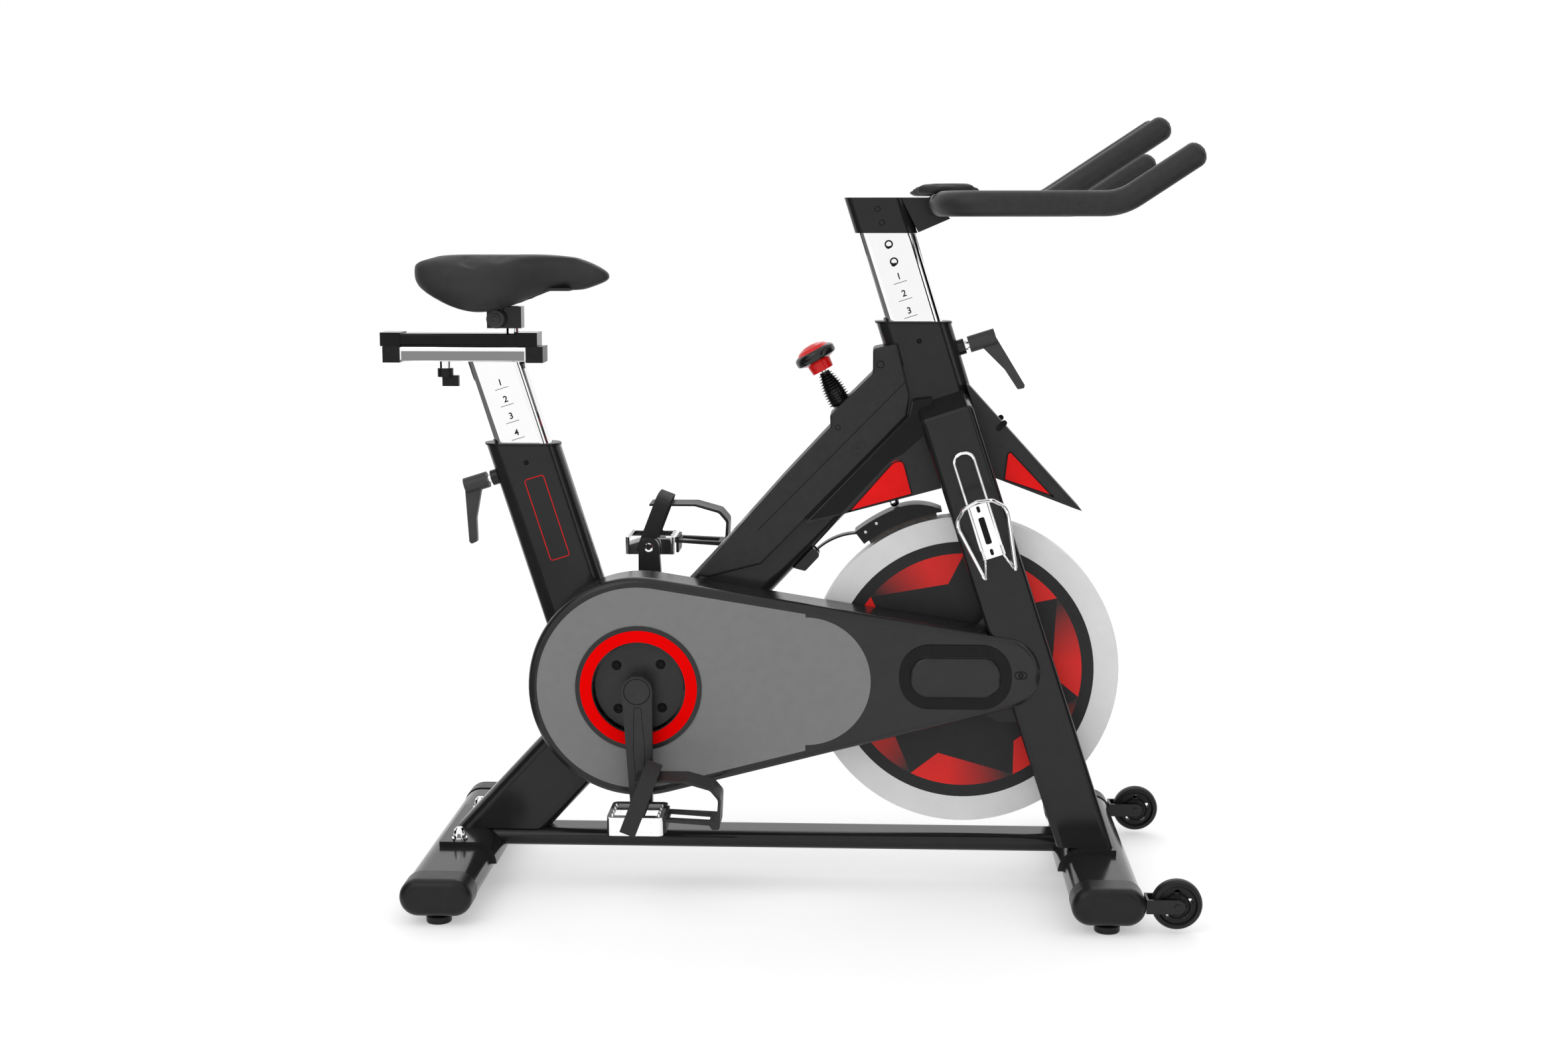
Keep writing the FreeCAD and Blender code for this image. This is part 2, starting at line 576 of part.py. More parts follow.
def make_casters():
    face = dim.stab_front_x + dim.stab_width / 2 + dim.cap_wall
    inner = dim.caster_width / 2 + 2
    outer = inner + dim.caster_plate
    half = dim.caster_arm / 2
    arm_outline = rounded([(face, dim.caster_z - half), (dim.caster_x + half, dim.caster_z - half),
                           (dim.caster_x + half, dim.caster_z + half), (face, dim.caster_z + half)],
                          [0, half - 0.1, half - 0.1, 0])
    arms = side_pad("caster_arms", [arm_outline], -dim.caster_y + outer, "2 * (Dims.caster_width / 2 "
                    "+ 2 + Dims.caster_plate)")
    gap = block("caster_gap", (face + dim.caster_plate, -dim.caster_y - inner, 0),
                (dim.caster_x + 40, -dim.caster_y + inner, 90))
    pin = cylinder("caster_pin", "Dims.caster_pin", f"{2 * outer + 4}",
                   Vector(dim.caster_x, -dim.caster_y - outer - 2, dim.caster_z), Y_AXIS)
    bracket = fuse("right_bracket", cut("caster_yoke", arms, gap), pin)
    node("caster_brackets", group("caster_brackets", bracket, mirrored("left_bracket", bracket)))
    r, w = dim.caster_radius, dim.caster_width / 2
    bore = dim.caster_pin + dim.bearing_play
    profile = [(bore, -w), (10, -w), (11, -w + 5), (r - 9, -w + 5), (r - 7, -w + 1), (r - 2, -w + 3),
               (r, -w + 7), (r, w - 7), (r - 2, w - 3), (r - 7, w - 1), (r - 9, w - 5), (11, w - 5),
               (10, w), (bore, w)]
    for side, y in (("right", -dim.caster_y), ("left", dim.caster_y)):
        name = f"{side}_caster_wheel"
        wheel = turned(name + "_turned", profile, Vector(dim.caster_x, y, dim.caster_z), Y_AXIS)
        slots = []
        for i in range(5):
            angle = math.radians(90 + 72 * i)
            slots.append(cylinder(f"{name}_slot_{i}", "4", "Dims.caster_width",
                                  Vector(dim.caster_x + 17.5 * math.cos(angle), y - w,
                                         dim.caster_z + 17.5 * math.sin(angle)), Y_AXIS))
        node(name, cut(name, wheel, *slots))


# ---- drive ---------------------------------------------------------------------------------

def make_drive():
    crank = Vector(dim.crank_x, 0, dim.crank_z)
    wheel = Vector(dim.wheel_x, 0, dim.wheel_z)
    play = dim.bearing_play
    half = dim.tube_depth / 2
    rings = []
    for centre, shaft, outer, places in (
            (crank, dim.crank_axle_radius + play, dim.bearing_radius, (-half, half - dim.bearing_width)),
            (wheel, dim.axle_radius, dim.bearing_radius - play,
             (-dim.wheel_half + 2, dim.wheel_half - 2 - dim.bearing_width))):
        for low in places:
            high = low + dim.bearing_width
            rings.append(turned(f"bearing_{len(rings)}", [(shaft, low), (outer, low), (outer, high),
                                                          (shaft, high)], centre, Y_AXIS))
    node("bearings", group("bearings", *rings))

    inner = dim.leg_outer - dim.leg_depth
    nut = inner + 8
    step = dim.axle_radius + 4
    node("flywheel_axle", turned("flywheel_axle", [
        (0, -nut - 4), (5, -nut - 4), (5, -nut), (step, -nut), (step, -inner), (dim.axle_radius, -inner),
        (dim.axle_radius, inner), (step, inner), (step, nut), (5, nut), (5, nut + 4), (0, nut + 4)],
        wheel, Y_AXIS))

    bore = dim.bearing_radius
    web = dim.web_thickness / 2
    wide = dim.wheel_half
    boss = 18
    node("flywheel", turned("flywheel", [
        (bore, -wide), (dim.hub_radius, -wide), (dim.hub_radius, -web), (dim.rim_inner, -web),
        (dim.rim_inner, -wide), (dim.wheel_radius, -wide), (dim.wheel_radius, wide),
        (dim.rim_inner, wide), (dim.rim_inner, web), (dim.hub_radius, web), (dim.hub_radius, wide),
        (bore, wide)], wheel, Y_AXIS))
    covers = []
    for side in (-1, 1):
        near, far = sorted((side * (wide - 2), side * wide))
        covers.append(turned(f"cover_{side}", [(dim.hub_radius, near), (dim.rim_inner, near),
                                               (dim.rim_inner, far), (dim.hub_radius, far)],
                             wheel, Y_AXIS))
    node("flywheel_covers", group("flywheel_covers", *covers))

    low, high = -dim.belt_inner - dim.belt_width, -dim.belt_inner
    flange = 2
    node("flywheel_pulley", turned("flywheel_pulley", [
        (dim.axle_radius + 2, low), (dim.small_pulley + flange, low), (dim.small_pulley + flange, low + 1),
        (dim.small_pulley, low + 1), (dim.small_pulley, high - 1), (dim.small_pulley + flange, high - 1),
        (dim.small_pulley + flange, high), (boss + 6, high), (boss + 6, -wide),
        (dim.axle_radius + 2, -wide)], wheel, Y_AXIS))

    axle = dim.crank_axle_radius
    end = dim.crank_outer
    node("crank_axle", turned("crank_axle", [(0, -end), (axle, -end), (axle, end), (0, end)],
                              crank, Y_AXIS))
    face = -dim.drive_disc_face
    rim = dim.large_pulley
    node("drive_pulley", turned("drive_pulley", [
        (axle, face + 4), (22, face + 4), (22, low + 2), (rim - 8, low + 5), (rim - 8, low),
        (rim, low), (rim, high), (rim - 8, high), (rim - 8, high - 4), (22, high - 2), (22, high),
        (axle, high)], crank, Y_AXIS))
    plate = turned("drive_disc_plate", [(axle, face), (dim.drive_disc_radius, face),
                                        (dim.drive_disc_radius, face + 4), (axle, face + 4)],
                   crank, Y_AXIS)
    screws = [cylinder(f"disc_hole_{i}", "4", "10",
                       Vector(dim.crank_x + dx * dim.disc_bolt, face - 2, dim.crank_z + dz * dim.disc_bolt),
                       Y_AXIS)
              for i, (dx, dz) in enumerate(((-1, -1), (-1, 1), (1, -1), (1, 1)))]
    node("drive_disc", cut("drive_disc", plate, *screws))

    gap = dim.slide_gap
    loops = []
    for grow in (dim.belt_thickness + gap, gap):
        loops.append(tangent_loop(dim.crank_x, dim.crank_z, dim.large_pulley + grow,
                                  dim.wheel_x, dim.wheel_z, dim.small_pulley + grow))
    node("drive_belt", side_pad("drive_belt", loops, high - 2, "Dims.belt_width - 4"))


def tangent_loop(x1, z1, r1, x2, z2, r2):
    """outline around two circles joined by their outer tangents"""
    span = math.hypot(x2 - x1, z2 - z1)
    line = math.atan2(z2 - z1, x2 - x1)
    lean = math.acos((r1 - r2) / span)

    def on(x, z, r, angle):
        return Vector(x + r * math.cos(angle), z + r * math.sin(angle), 0)
    up, down = line + lean, line - lean
    return [Part.Arc(on(x1, z1, r1, up), on(x1, z1, r1, line + math.pi), on(x1, z1, r1, down)),
            Part.LineSegment(on(x1, z1, r1, down), on(x2, z2, r2, down)),
            Part.Arc(on(x2, z2, r2, down), on(x2, z2, r2, line), on(x2, z2, r2, up)),
            Part.LineSegment(on(x2, z2, r2, up), on(x1, z1, r1, up))]


def crank_tip(side):
    """where the pedal spindle stands; side -1 is the right crank, hanging down and a little forward"""
    tilt = math.radians(dim.crank_tilt)
    return (dim.crank_x - side * dim.crank_length * math.sin(tilt),
            dim.crank_z + side * dim.crank_length * math.cos(tilt))


def make_crank(name, side):
    """arm with its pedal spindle; side -1 hangs down on the right, +1 points up on the left"""
    low, high = sorted((side * dim.crank_inner, side * dim.crank_outer))
    end_x, end_z = crank_tip(side)
    arm = side_pad(name + "_arm", [tangent_loop(dim.crank_x, dim.crank_z, dim.crank_boss,
                                                end_x, end_z, dim.crank_end)],
                   high, "Dims.crank_outer - Dims.crank_inner")
    hole = cylinder(name + "_axle_hole", "Dims.crank_axle_radius", "40",
                    Vector(dim.crank_x, low - 10, dim.crank_z), Y_AXIS)
    start = side * dim.crank_outer
    spindle = cylinder(name + "_spindle", "Dims.spindle_radius", "Dims.pedal_depth + Dims.pedal_gap - 8",
                       Vector(end_x, start, end_z), Y_AXIS * side)
    node(name, group(name, cut(name + "_bored", arm, hole), spindle))


def make_pedal(name, side):
    """flat pedal in the shape of a frame around the spindle, with toe cage and strap in front"""
    x, z = crank_tip(side)
    near = side * (dim.crank_outer + dim.pedal_gap)
    far = near + side * dim.pedal_depth
    low, high = sorted((near, far))
    half, tall = dim.pedal_length / 2, dim.pedal_height / 2
    body = level_pad(name + "_frame", [oval(x, (low + high) / 2, dim.pedal_length, dim.pedal_depth, 8)],
                     z - tall, "Dims.pedal_height")
    windows = [block(f"{name}_window_{i}", (x + a, low + 12, z - 30), (x + b, high - 12, z + 30))
               for i, (a, b) in enumerate(((-half + 9, -13), (13, half - 9)))]
    bore = cylinder(name + "_bore", "Dims.spindle_radius + Dims.bearing_play",
                    "Dims.pedal_depth + Dims.pedal_gap - 7", Vector(x, near - side, z), Y_AXIS * side)
    node(name, cut(name, body, bore, *windows))

    cage = name.replace("pedal", "toe_cage")
    front = x + half
    top = z + dim.cage_height
    reach = front + dim.cage_reach
    mid = (low + high) / 2
    outer = [(front, z + 3), (reach - 16, z - 1), (reach - 12, z - 7), (reach - 2, z - 7), (reach, z + 36),
             (reach - 12, z + 50), (reach - 48, top), (x - 2, top), (x - 2, top - 3), (reach - 50, top - 3),
             (reach - 15, z + 47), (reach - 4, z + 34), (reach - 6, z + 4), (front, z + 7)]
    hoop = side_pad(cage + "_hoop", [rounded(outer, [0, 3, 3, 4, 9, 10, 12, 0, 0, 9, 8, 8, 3, 0])], mid + 26,
                    "52")
    window = block(cage + "_window", (front + 6, mid - 15, z - 30), (reach - 16, mid + 15, z + 30))
    toe = cut(cage + "_frame", hoop, window)
    plate = block(cage + "_plate", (front, mid - 26, z - tall + 1), (front + 3, mid + 26, z + tall - 1))
    node(cage, fuse(cage, toe, plate))


# ---- belt guard ----------------------------------------------------------------------------

def guard_outline(inset):
    return tangent_loop(dim.crank_x, dim.crank_z, dim.guard_radius - inset,
                        dim.nose_x, dim.nose_z, dim.nose_radius - inset)


def leg_room(label):
    """space kept free in the guard for the fork leg"""
    gap = 1.5
    body = new_body(label)
    sketch = new_sketch(body, "YZ_Plane", -(dim.leg_width / 2 + gap))
    outline = [(-dim.leg_outer - gap, 40), (-dim.guard_back, 40), (-dim.guard_back, 560),
               (-dim.leg_outer - gap, 560)]
    draw(sketch, rounded(outline, 0))
    pad(body, sketch, f"Dims.leg_width + {2 * gap}")
    body.Placement = leg_frame()
    return body


def make_guard():
    wall = dim.guard_wall
    cover = side_pad("guard_cover_block", [guard_outline(0)], -dim.guard_split,
                     "Dims.guard_face - Dims.guard_split")
    round_edges(cover, "Dims.guard_round", lambda edge: abs(edge.BoundBox.YMax + dim.guard_face) < 0.01)
    hollow = side_pad("guard_hollow", [guard_outline(wall)], -dim.guard_split + 1,
                      "Dims.guard_face - Dims.guard_split - Dims.guard_wall + 1")
    hole = cylinder("guard_crank_hole", "Dims.guard_hole", "40",
                    Vector(dim.crank_x, -dim.guard_face - 20, dim.crank_z), Y_AXIS)
    groove = side_pad("guard_groove", [oval(238.5, 312, 154, 90, 42), oval(238.5, 311, 126, 57, 26)],
                      -dim.guard_face + 2, "10")
    notch = side_pad("guard_notch", [dropout_outline(1)], -dim.guard_split + 1,
                     "Dims.leg_outer - Dims.leg_depth - Dims.guard_split + 2")
    lip = turned("guard_lip", [(dim.ring_outer, dim.guard_face), (dim.lip_outer, dim.guard_face),
                               (dim.lip_outer, dim.guard_face + 2), (dim.ring_outer, dim.guard_face + 2)],
                 Vector(dim.crank_x, 0, dim.crank_z), Y_AXIS * -1)
    shell = cut("guard_shell", cover, hollow, hole, groove, leg_room("leg_in_cover"), notch)
    node("guard_outer_cover", fuse("guard_outer_cover", shell, lip))

    back = side_pad("guard_back_block", [guard_outline(0)], -dim.guard_back,
                    "Dims.guard_split - Dims.guard_back")
    inside = side_pad("guard_back_hollow", [guard_outline(dim.guard_thin)],
                      -dim.guard_back - dim.guard_thin,
                      "Dims.guard_split - Dims.guard_back")
    openings = [cylinder("back_crank_hole", "Dims.shell_radius + 4", "60",
                         Vector(dim.crank_x, -70, dim.crank_z), Y_AXIS),
                cylinder("back_axle_hole", "Dims.hub_radius", "60",
                         Vector(dim.wheel_x, -70, dim.wheel_z), Y_AXIS)]
    node("guard_inner_cover", cut("guard_inner_cover", back, inside, *openings))

    inset = dim.panel_inset
    sheet_metal = side_pad("panel_blank", [guard_outline(inset)], -dim.guard_face, "Dims.panel_thickness")
    centre = Vector(dim.panel_end_x - dim.panel_end_radius, -dim.guard_face - 10, dim.crank_z + 12)
    end = cylinder("panel_end", "Dims.panel_end_radius", "20", centre, Y_AXIS)
    rear = block("panel_rear", (dim.crank_x - 200, -dim.guard_face - 10, 60),
                 (centre.x, -dim.guard_face + 10, 520))
    trimmed = doc.addObject("Part::Common", "panel_trimmed")
    trimmed.Base, trimmed.Tool = sheet_metal, fuse("panel_reach", end, rear)
    middle = cylinder("panel_hole", "Dims.lip_outer", "20",
                      Vector(dim.crank_x, -dim.guard_face - 10, dim.crank_z), Y_AXIS)
    node("guard_panel", cut("guard_panel", trimmed, middle))
    node("guard_ring", turned("guard_ring", [
        (dim.ring_inner, dim.guard_face), (dim.ring_outer, dim.guard_face),
        (dim.ring_outer, dim.guard_face + dim.ring_thickness),
        (dim.ring_inner, dim.guard_face + dim.ring_thickness)],
        Vector(dim.crank_x, 0, dim.crank_z), Y_AXIS * -1))


# ---- shrouds and fender --------------------------------------------------------------------

def shroud_points(inset):
    """side outline of the plastic shroud around the upper beam and the head tube"""
    return [(156 - inset, 763 - inset), (123 + inset, 756.5 - inset), (123 + inset, 722.5 - inset / 3),
            (64.5 + inset, 664.5), (65 + inset, 649), (0 + inset, 579), (-122.5 + inset * 1.4, 440 + inset),
            (-104.5, 437.5 + inset), (-31 - inset / 2, 456.5 + inset), (170 - inset, 664),
            (174 - inset, 692)]


def make_shrouds():
    wall = dim.shroud_wall
    outer = side_pad("shroud_block", [rounded(shroud_points(0), [3, 5, 8, 4, 6, 0, 6, 3, 8, 0, 0])],
                     0, "Dims.shroud_half")
    round_edges(outer, "4", lambda edge: abs(edge.BoundBox.YMax + dim.shroud_half) < 0.01)
    inner = side_pad("shroud_hollow", [rounded(shroud_points(wall), 0)], 0,
                     "Dims.shroud_half - Dims.shroud_wall")
    right = cut("right_shroud", outer, inner, beam_solid("beam_in_shroud"),
                head_solid("head_in_shroud"), rod_hole("rod_in_shroud"))
    node("right_shroud", right)
    node("left_shroud", mirrored("left_shroud", right))


def fender_points(inset):
    rise = inset * 1.2
    return [(28 + inset * 3.5, 513.5 + inset), (173, 664.5), (178, 690), (253 - inset / 2, 708.5 - rise),
            (412 - inset * 3, 534 + inset / 2), (283.5, 583 - 0.01 * inset)]


def make_fender():
    half, wall = dim.fender_half, dim.fender_wall
    block_body = side_pad("fender_block", [rounded(fender_points(0), [2, 0, 0, 4, 0, 0])], half,
                          "2 * Dims.fender_half")
    # the ridge in front of the head tube is bevelled on both sides
    doc.recompute()
    base = block_body.Tip

    def on_ridge(edge):
        box = edge.BoundBox
        return abs(abs(box.YMax) - half) < 0.01 and box.YLength < 0.01 and box.XMin > 250 \
            and box.ZMax > 700 and box.ZMin < 545
    names = [f"Edge{i}" for i, edge in enumerate(base.Shape.Edges, start=1) if on_ridge(edge)]
    bevel = block_body.newObject("PartDesign::Chamfer", "fender_bevel")
    bevel.Base = (base, names)
    bevel.Size = 5
    block_body.Tip = bevel
    inner_points = [(37, 513.5), (177, 664.5), (180, 685), (249, 702.5), (400, 535), (283.5, 582.9)]
    inner = side_pad("fender_hollow", [rounded(inner_points, 0)], half - wall,
                     "2 * (Dims.fender_half - Dims.fender_wall)")
    gap = 1
    reach = dim.leg_width / 2 + gap
    room = new_body("leg_in_fender")
    sketch = new_sketch(room, "YZ_Plane", -reach)
    low_end = (dim.shoulder_z - dim.foot_level) / math.cos(math.radians(dim.leg_lean)) - 66
    draw(sketch, rounded([(-90, low_end), (90, low_end), (90, low_end + 120), (-90, low_end + 120)], 0))
    pad(room, sketch, f"Dims.leg_width + {2 * gap}")
    room.Placement = leg_frame()
    node("fender", cut("fender", block_body, inner, room, head_solid("head_in_fender"),
                       beam_solid("beam_in_fender")))
    left = [(90, 531.5), (153, 603.5), (166, 603.5), (178.5, 556.5)]
    right = [(303.5, 577.5), (308, 617), (313.5, 616), (372, 554.5)]
    inserts = []
    for i, points in enumerate((left, right)):
        rim = rounded(points, [0, 8, 8, 0] if i == 0 else [0, 5, 5, 0])
        piece = side_pad(f"insert_{i}", [rim], -half, "0.8")
        inserts += [piece, mirrored(f"insert_{i}_left", piece)]
    node("fender_inserts", group("fender_inserts", *inserts))


# ---- seat post, carriage, saddle -----------------------------------------------------------

def post_section(centre_x, inset):
    return leaning_oval(centre_x, dim.post_width - 2 * inset, dim.post_depth - 2 * inset,
                        dim.post_corner - inset, POST_COS)


def make_seat_post():
    low = 440
    post = leaning("seat_post_tube",
                   [post_section(seat_x(low), 0), post_section(seat_x(low), dim.post_wall)],
                   low, f"Dims.rail_bottom - {low}", POST_UP)
    start, end = dim.rail_x - dim.rail_length / 2, dim.rail_x + dim.rail_length / 2
    middle = (dim.rail_bottom + dim.rail_top) / 2
    height = dim.rail_top - dim.rail_bottom
    rail = cross_pad("seat_rail", [oval(0, middle, 2 * dim.rail_half, height, 2.5),
                                   oval(0, middle, 2 * (dim.rail_half - dim.rail_wall),
                                        height - 2 * dim.rail_wall, 1)], start, "Dims.rail_length")
    slot = block("rail_slot", (start - 5, -dim.slot_half, dim.rail_top - 2 * dim.rail_wall),
                 (end + 5, dim.slot_half, dim.rail_top + 5))
    neck = cylinder("knob_neck", "Dims.knob_stud + 4.5", "10",
                    Vector(dim.knob_x, 0, dim.rail_bottom - 10), Z_AXIS)
    hole = cylinder("knob_hole", "Dims.knob_stud + Dims.bearing_play", "30",
                    Vector(dim.knob_x, 0, dim.rail_bottom - 15), Z_AXIS)
    node("seat_post", cut("seat_post", fuse("seat_post_joined", post, rail, neck), slot, hole))
    caps = []
    for i, (x, side) in enumerate(((start, -1), (end, 1))):
        low_x, high_x = sorted((x - side * 22, x + side * 2))
        shell = block(f"rail_cap_{i}", (low_x, -dim.rail_half - 1.5, dim.rail_bottom - 1.5),
                      (high_x, dim.rail_half + 1.5, dim.rail_top))
        inside_x = sorted((x - side * 30, x))
        room = block(f"rail_cap_room_{i}", (inside_x[0], -dim.rail_half, dim.rail_bottom),
                     (inside_x[1], dim.rail_half, dim.rail_top + 1))
        caps.append(cut(f"rail_cap_cut_{i}", shell, room))
    node("seat_rail_caps", group("seat_rail_caps", *caps))


def make_carriage():
    start, end = dim.carriage_x - dim.carriage_length / 2, dim.carriage_x + dim.carriage_length / 2
    low = dim.rail_top + dim.slide_gap
    high = low + dim.carriage_height
    bar = cross_pad("carriage_bar", [oval(0, (low + high) / 2, 2 * dim.rail_half, dim.carriage_height, 3),
                                     oval(0, (low + high) / 2, 2 * dim.rail_half - 8,
                                          dim.carriage_height - 8, 1)], start, "Dims.carriage_length")
    tongue = block("carriage_neck", (dim.rail_x - 45, -dim.slot_half + 1, low - 4),
                   (dim.rail_x + 45, dim.slot_half - 1, low + 1))
    under = dim.rail_top - dim.rail_wall - dim.slide_gap
    head = block("carriage_head", (dim.rail_x - 45, -dim.slot_half - 6, under - 6),
                 (dim.rail_x + 45, dim.slot_half + 6, under))
    stub = cylinder("saddle_stub", "Dims.stub_radius", "32", Vector(dim.stub_x, 0, high), Z_AXIS)
    slider = fuse("carriage_body", bar, tongue, head, stub)
    caps = []
    for i, (x, side) in enumerate(((start, -1), (end, 1))):
        low_x, high_x = sorted((x - side * 20, x + side * 8))
        shell = block(f"carriage_cap_{i}", (low_x, -dim.rail_half - 1.5, low),
                      (high_x, dim.rail_half + 1.5, high + 1.5))
        inside_x = sorted((x - side * 40, x))
        room = block(f"carriage_cap_room_{i}", (inside_x[0], -dim.rail_half, low - 1),
                     (inside_x[1], dim.rail_half, high))
        caps.append(cut(f"carriage_cap_cut_{i}", shell, room))
    node("seat_carriage", group("seat_carriage", slider, *caps))

    clamp = block("clamp_block", (-412, -13, dim.clamp_bottom), (-364, 13, 812))
    bore = cylinder("clamp_bore", "Dims.stub_radius", "60", Vector(dim.stub_x, 0, 770), Z_AXIS)
    pivot = Vector(dim.pivot_x, 0, dim.pivot_z)
    bolt = turned("clamp_bolt", [(0, -27), (8, -27), (8, -20), (5, -20), (5, 20), (8, 20), (8, 27),
                                 (0, 27)], pivot, Y_AXIS)
    node("saddle_clamp", fuse("saddle_clamp", cut("clamp_bored", clamp, bore), bolt))


def make_knob():
    top = dim.rail_bottom - 10 - dim.slide_gap
    grip = cylinder("fore_aft_grip", "Dims.knob_radius", "12", Vector(dim.knob_x, 0, top - 12), Z_AXIS)
    wing = block("fore_aft_wing", (dim.knob_x - 4, -4, top - 25), (dim.knob_x + 19, 4, top - 10))
    stud = cylinder("fore_aft_stud", "Dims.knob_stud", f"{dim.rail_bottom + 11.7 - (top - 5)}",
                    Vector(dim.knob_x, 0, top - 5), Z_AXIS)
    node("fore_aft_knob", fuse("fore_aft_knob", grip, wing, stud))


def make_saddle():
    # each station: x, half width, underside, top
    stations = [(-507, 42, 848, 870), (-490, 70, 831, 877), (-450, 82, 812, 879), (-416, 84, 807, 879),
                (-378, 76, 816, 879), (-333, 50, 832, 879), (-293, 30, 838, 876), (-255, 20, 842, 867),
                (-239, 11, 848, 858)]
    cushion = new_body("cushion_loft")
    sections = []
    for x, half, low, high in stations:
        sketch = new_sketch(cushion, "YZ_Plane", x)
        draw(sketch, oval(0, (low + high) / 2, 2 * half, high - low, min(half, (high - low) / 2) * 0.8))
        sections.append(sketch)
    loft = cushion.newObject("PartDesign::AdditiveLoft", "cushion_skin")
    loft.Profile = sections[0]
    loft.Sections = sections[1:]
    loft.Ruled = False
    pan_low, pan_high = 834, 838
    rod_level, rod_radius = 828, 3.5
    recess = block("cushion_recess", (-478, -30, 780), (-292, 30, pan_high + dim.slide_gap))
    node("saddle_cushion", cut("saddle_cushion", cushion, recess))

    pan = block("saddle_pan", (-476, -28, pan_low), (-294, 28, pan_high))
    pieces = [pan]
    for side in (-1, 1):
        y = side * 17
        rod = cylinder(f"saddle_rod_{side}", f"{rod_radius}", "100", Vector(-456, y, rod_level), X_AXIS)
        risers = [block(f"saddle_riser_{side}_{x}", (x - 5, y - 4, rod_level - 3), (x + 5, y + 4, pan_low))
                  for x in (-450, -362)]
        low_y, high_y = sorted((side * 13.5, side * 19.5))
        ear_bore = 5 + dim.bearing_play
        ear = turned(f"saddle_ear_{side}", [(ear_bore, low_y), (dim.pivot_radius, low_y),
                                            (dim.pivot_radius, high_y), (ear_bore, high_y)],
                     Vector(dim.pivot_x, 0, dim.pivot_z), Y_AXIS)
        upright = block(f"saddle_upright_{side}", (dim.pivot_x - 9, low_y, dim.pivot_z + 9),
                        (dim.pivot_x + 9, high_y, rod_level))
        pieces += [rod, *risers, ear, upright]
    node("saddle_frame", fuse("saddle_frame", *pieces))


# ---- handlebar -----------------------------------------------------------------------------

def bar_points(side, bend_x, half, reach, start_x):
    rise = math.radians(dim.bar_rise)
    return [(start_x, side * half, dim.bar_z), (bend_x, side * half, dim.bar_z),
            (bend_x + reach * math.cos(rise), side * half, dim.bar_z + reach * math.sin(rise))]


def make_handlebar():
    low = 693
    post = leaning("bar_post_tube", [post_section(head_x(low), 0), post_section(head_x(low), dim.post_wall)],
                   low, f"Dims.head_high - 4 - {low}", POST_UP)
    marks = [cylinder(f"post_mark_{i}", "3.5", "8", Vector(head_x(z) - 3, -dim.post_depth / 2 - 4, z),
                      Y_AXIS)
             for i, z in enumerate((895, 871))]
    node("handlebar_post", cut("handlebar_post", post, *marks))

    z1, z2 = dim.head_low, dim.head_high
    wall = 2.5
    cap = leaning("head_cap", [leaning_oval(head_x(z1), dim.post_width + 2 * wall,
                                            dim.post_depth + 2 * wall, dim.post_corner + wall, POST_COS)],
                  z1, "Dims.head_high - Dims.head_low", POST_UP)
    inside = leaning("head_cap_inside", [post_section(head_x(z1), 0)], z1,
                     "Dims.head_high - Dims.head_low - 4", POST_UP)
    nose = side_pad("head_nose", [rounded([(160, z2), (202, z2), (227, 932.5), (184, z1 + 1)], 0)], 20, "40")
    bar = cylinder("bar_in_nose", "Dims.bar_radius", "80", Vector(dim.bar_x, -40, dim.bar_z), Y_AXIS)
    node("head_block", cut("head_block", fuse("head_joined", cap, nose), inside, bar))

    rise = math.radians(dim.bar_rise)
    right = bar_points(-1, dim.bar_bend_x, dim.bar_half, dim.bar_reach, dim.bar_x)
    left = bar_points(1, dim.bar_bend_x, dim.bar_half, dim.bar_reach, dim.bar_x)
    hoop_path = bent_path("hoop", right[::-1] + left, [70, 52, 52, 70])
    hoop = swept("hoop_bar", hoop_path, "Dims.bar_radius")
    hoop_bore = swept("hoop_bore", hoop_path, "Dims.bar_radius - Dims.bar_wall")
    pieces = [cut("hoop_tube", hoop, hoop_bore)]
    forward = Vector(math.cos(rise), 0, math.sin(rise))
    ends = [Vector(*right[-1]), Vector(*left[-1])]
    for side in (-1, 1):
        points = bar_points(side, dim.aero_bend_x, dim.aero_half, dim.aero_reach, dim.bar_x)
        path = bent_path(f"aero_{side}", points, [60])
        pieces.append(cut(f"aero_tube_{side}", swept(f"aero_bar_{side}", path, "Dims.bar_radius"),
                          swept(f"aero_bore_{side}", path, "Dims.bar_radius - Dims.bar_wall"),
                          cylinder(f"cross_in_aero_{side}", "Dims.bar_radius", "2 * Dims.aero_half + 80",
                                   Vector(dim.bar_x, -dim.aero_half - 40, dim.bar_z), Y_AXIS)))
        ends.append(Vector(*points[-1]))
    r = dim.bar_radius
    for i, end in enumerate(ends):
        pieces.append(turned(f"bar_plug_{i}", [(0, -14), (r - dim.bar_wall, -14), (r - dim.bar_wall, 0),
                                               (r, 0), (r - 1, 4), (r - 4, 8), (r - 9, 11), (0, 13)],
                             end, forward))
    node("handlebar", group("handlebar", *pieces))

    pads = []
    for side in (-1, 1):
        y = side * dim.pad_half
        shape = level_pad(f"pad_block_{side}", [oval(dim.bar_x + 4, y, 96, 84, 38)], 965.5, "12")
        trough = cylinder(f"pad_trough_{side}", "64", "120", Vector(dim.bar_x - 56, y, 1034), X_AXIS)
        tube = cylinder(f"bar_in_pad_{side}", "Dims.bar_radius", "120",
                        Vector(dim.bar_x, y - 60, dim.bar_z), Y_AXIS)
        pads.append(cut(f"pad_{side}", shape, trough, tube))
    node("forearm_pads", group("forearm_pads", *pads))


# ---- pull pins and levers -------------------------------------------------------------------

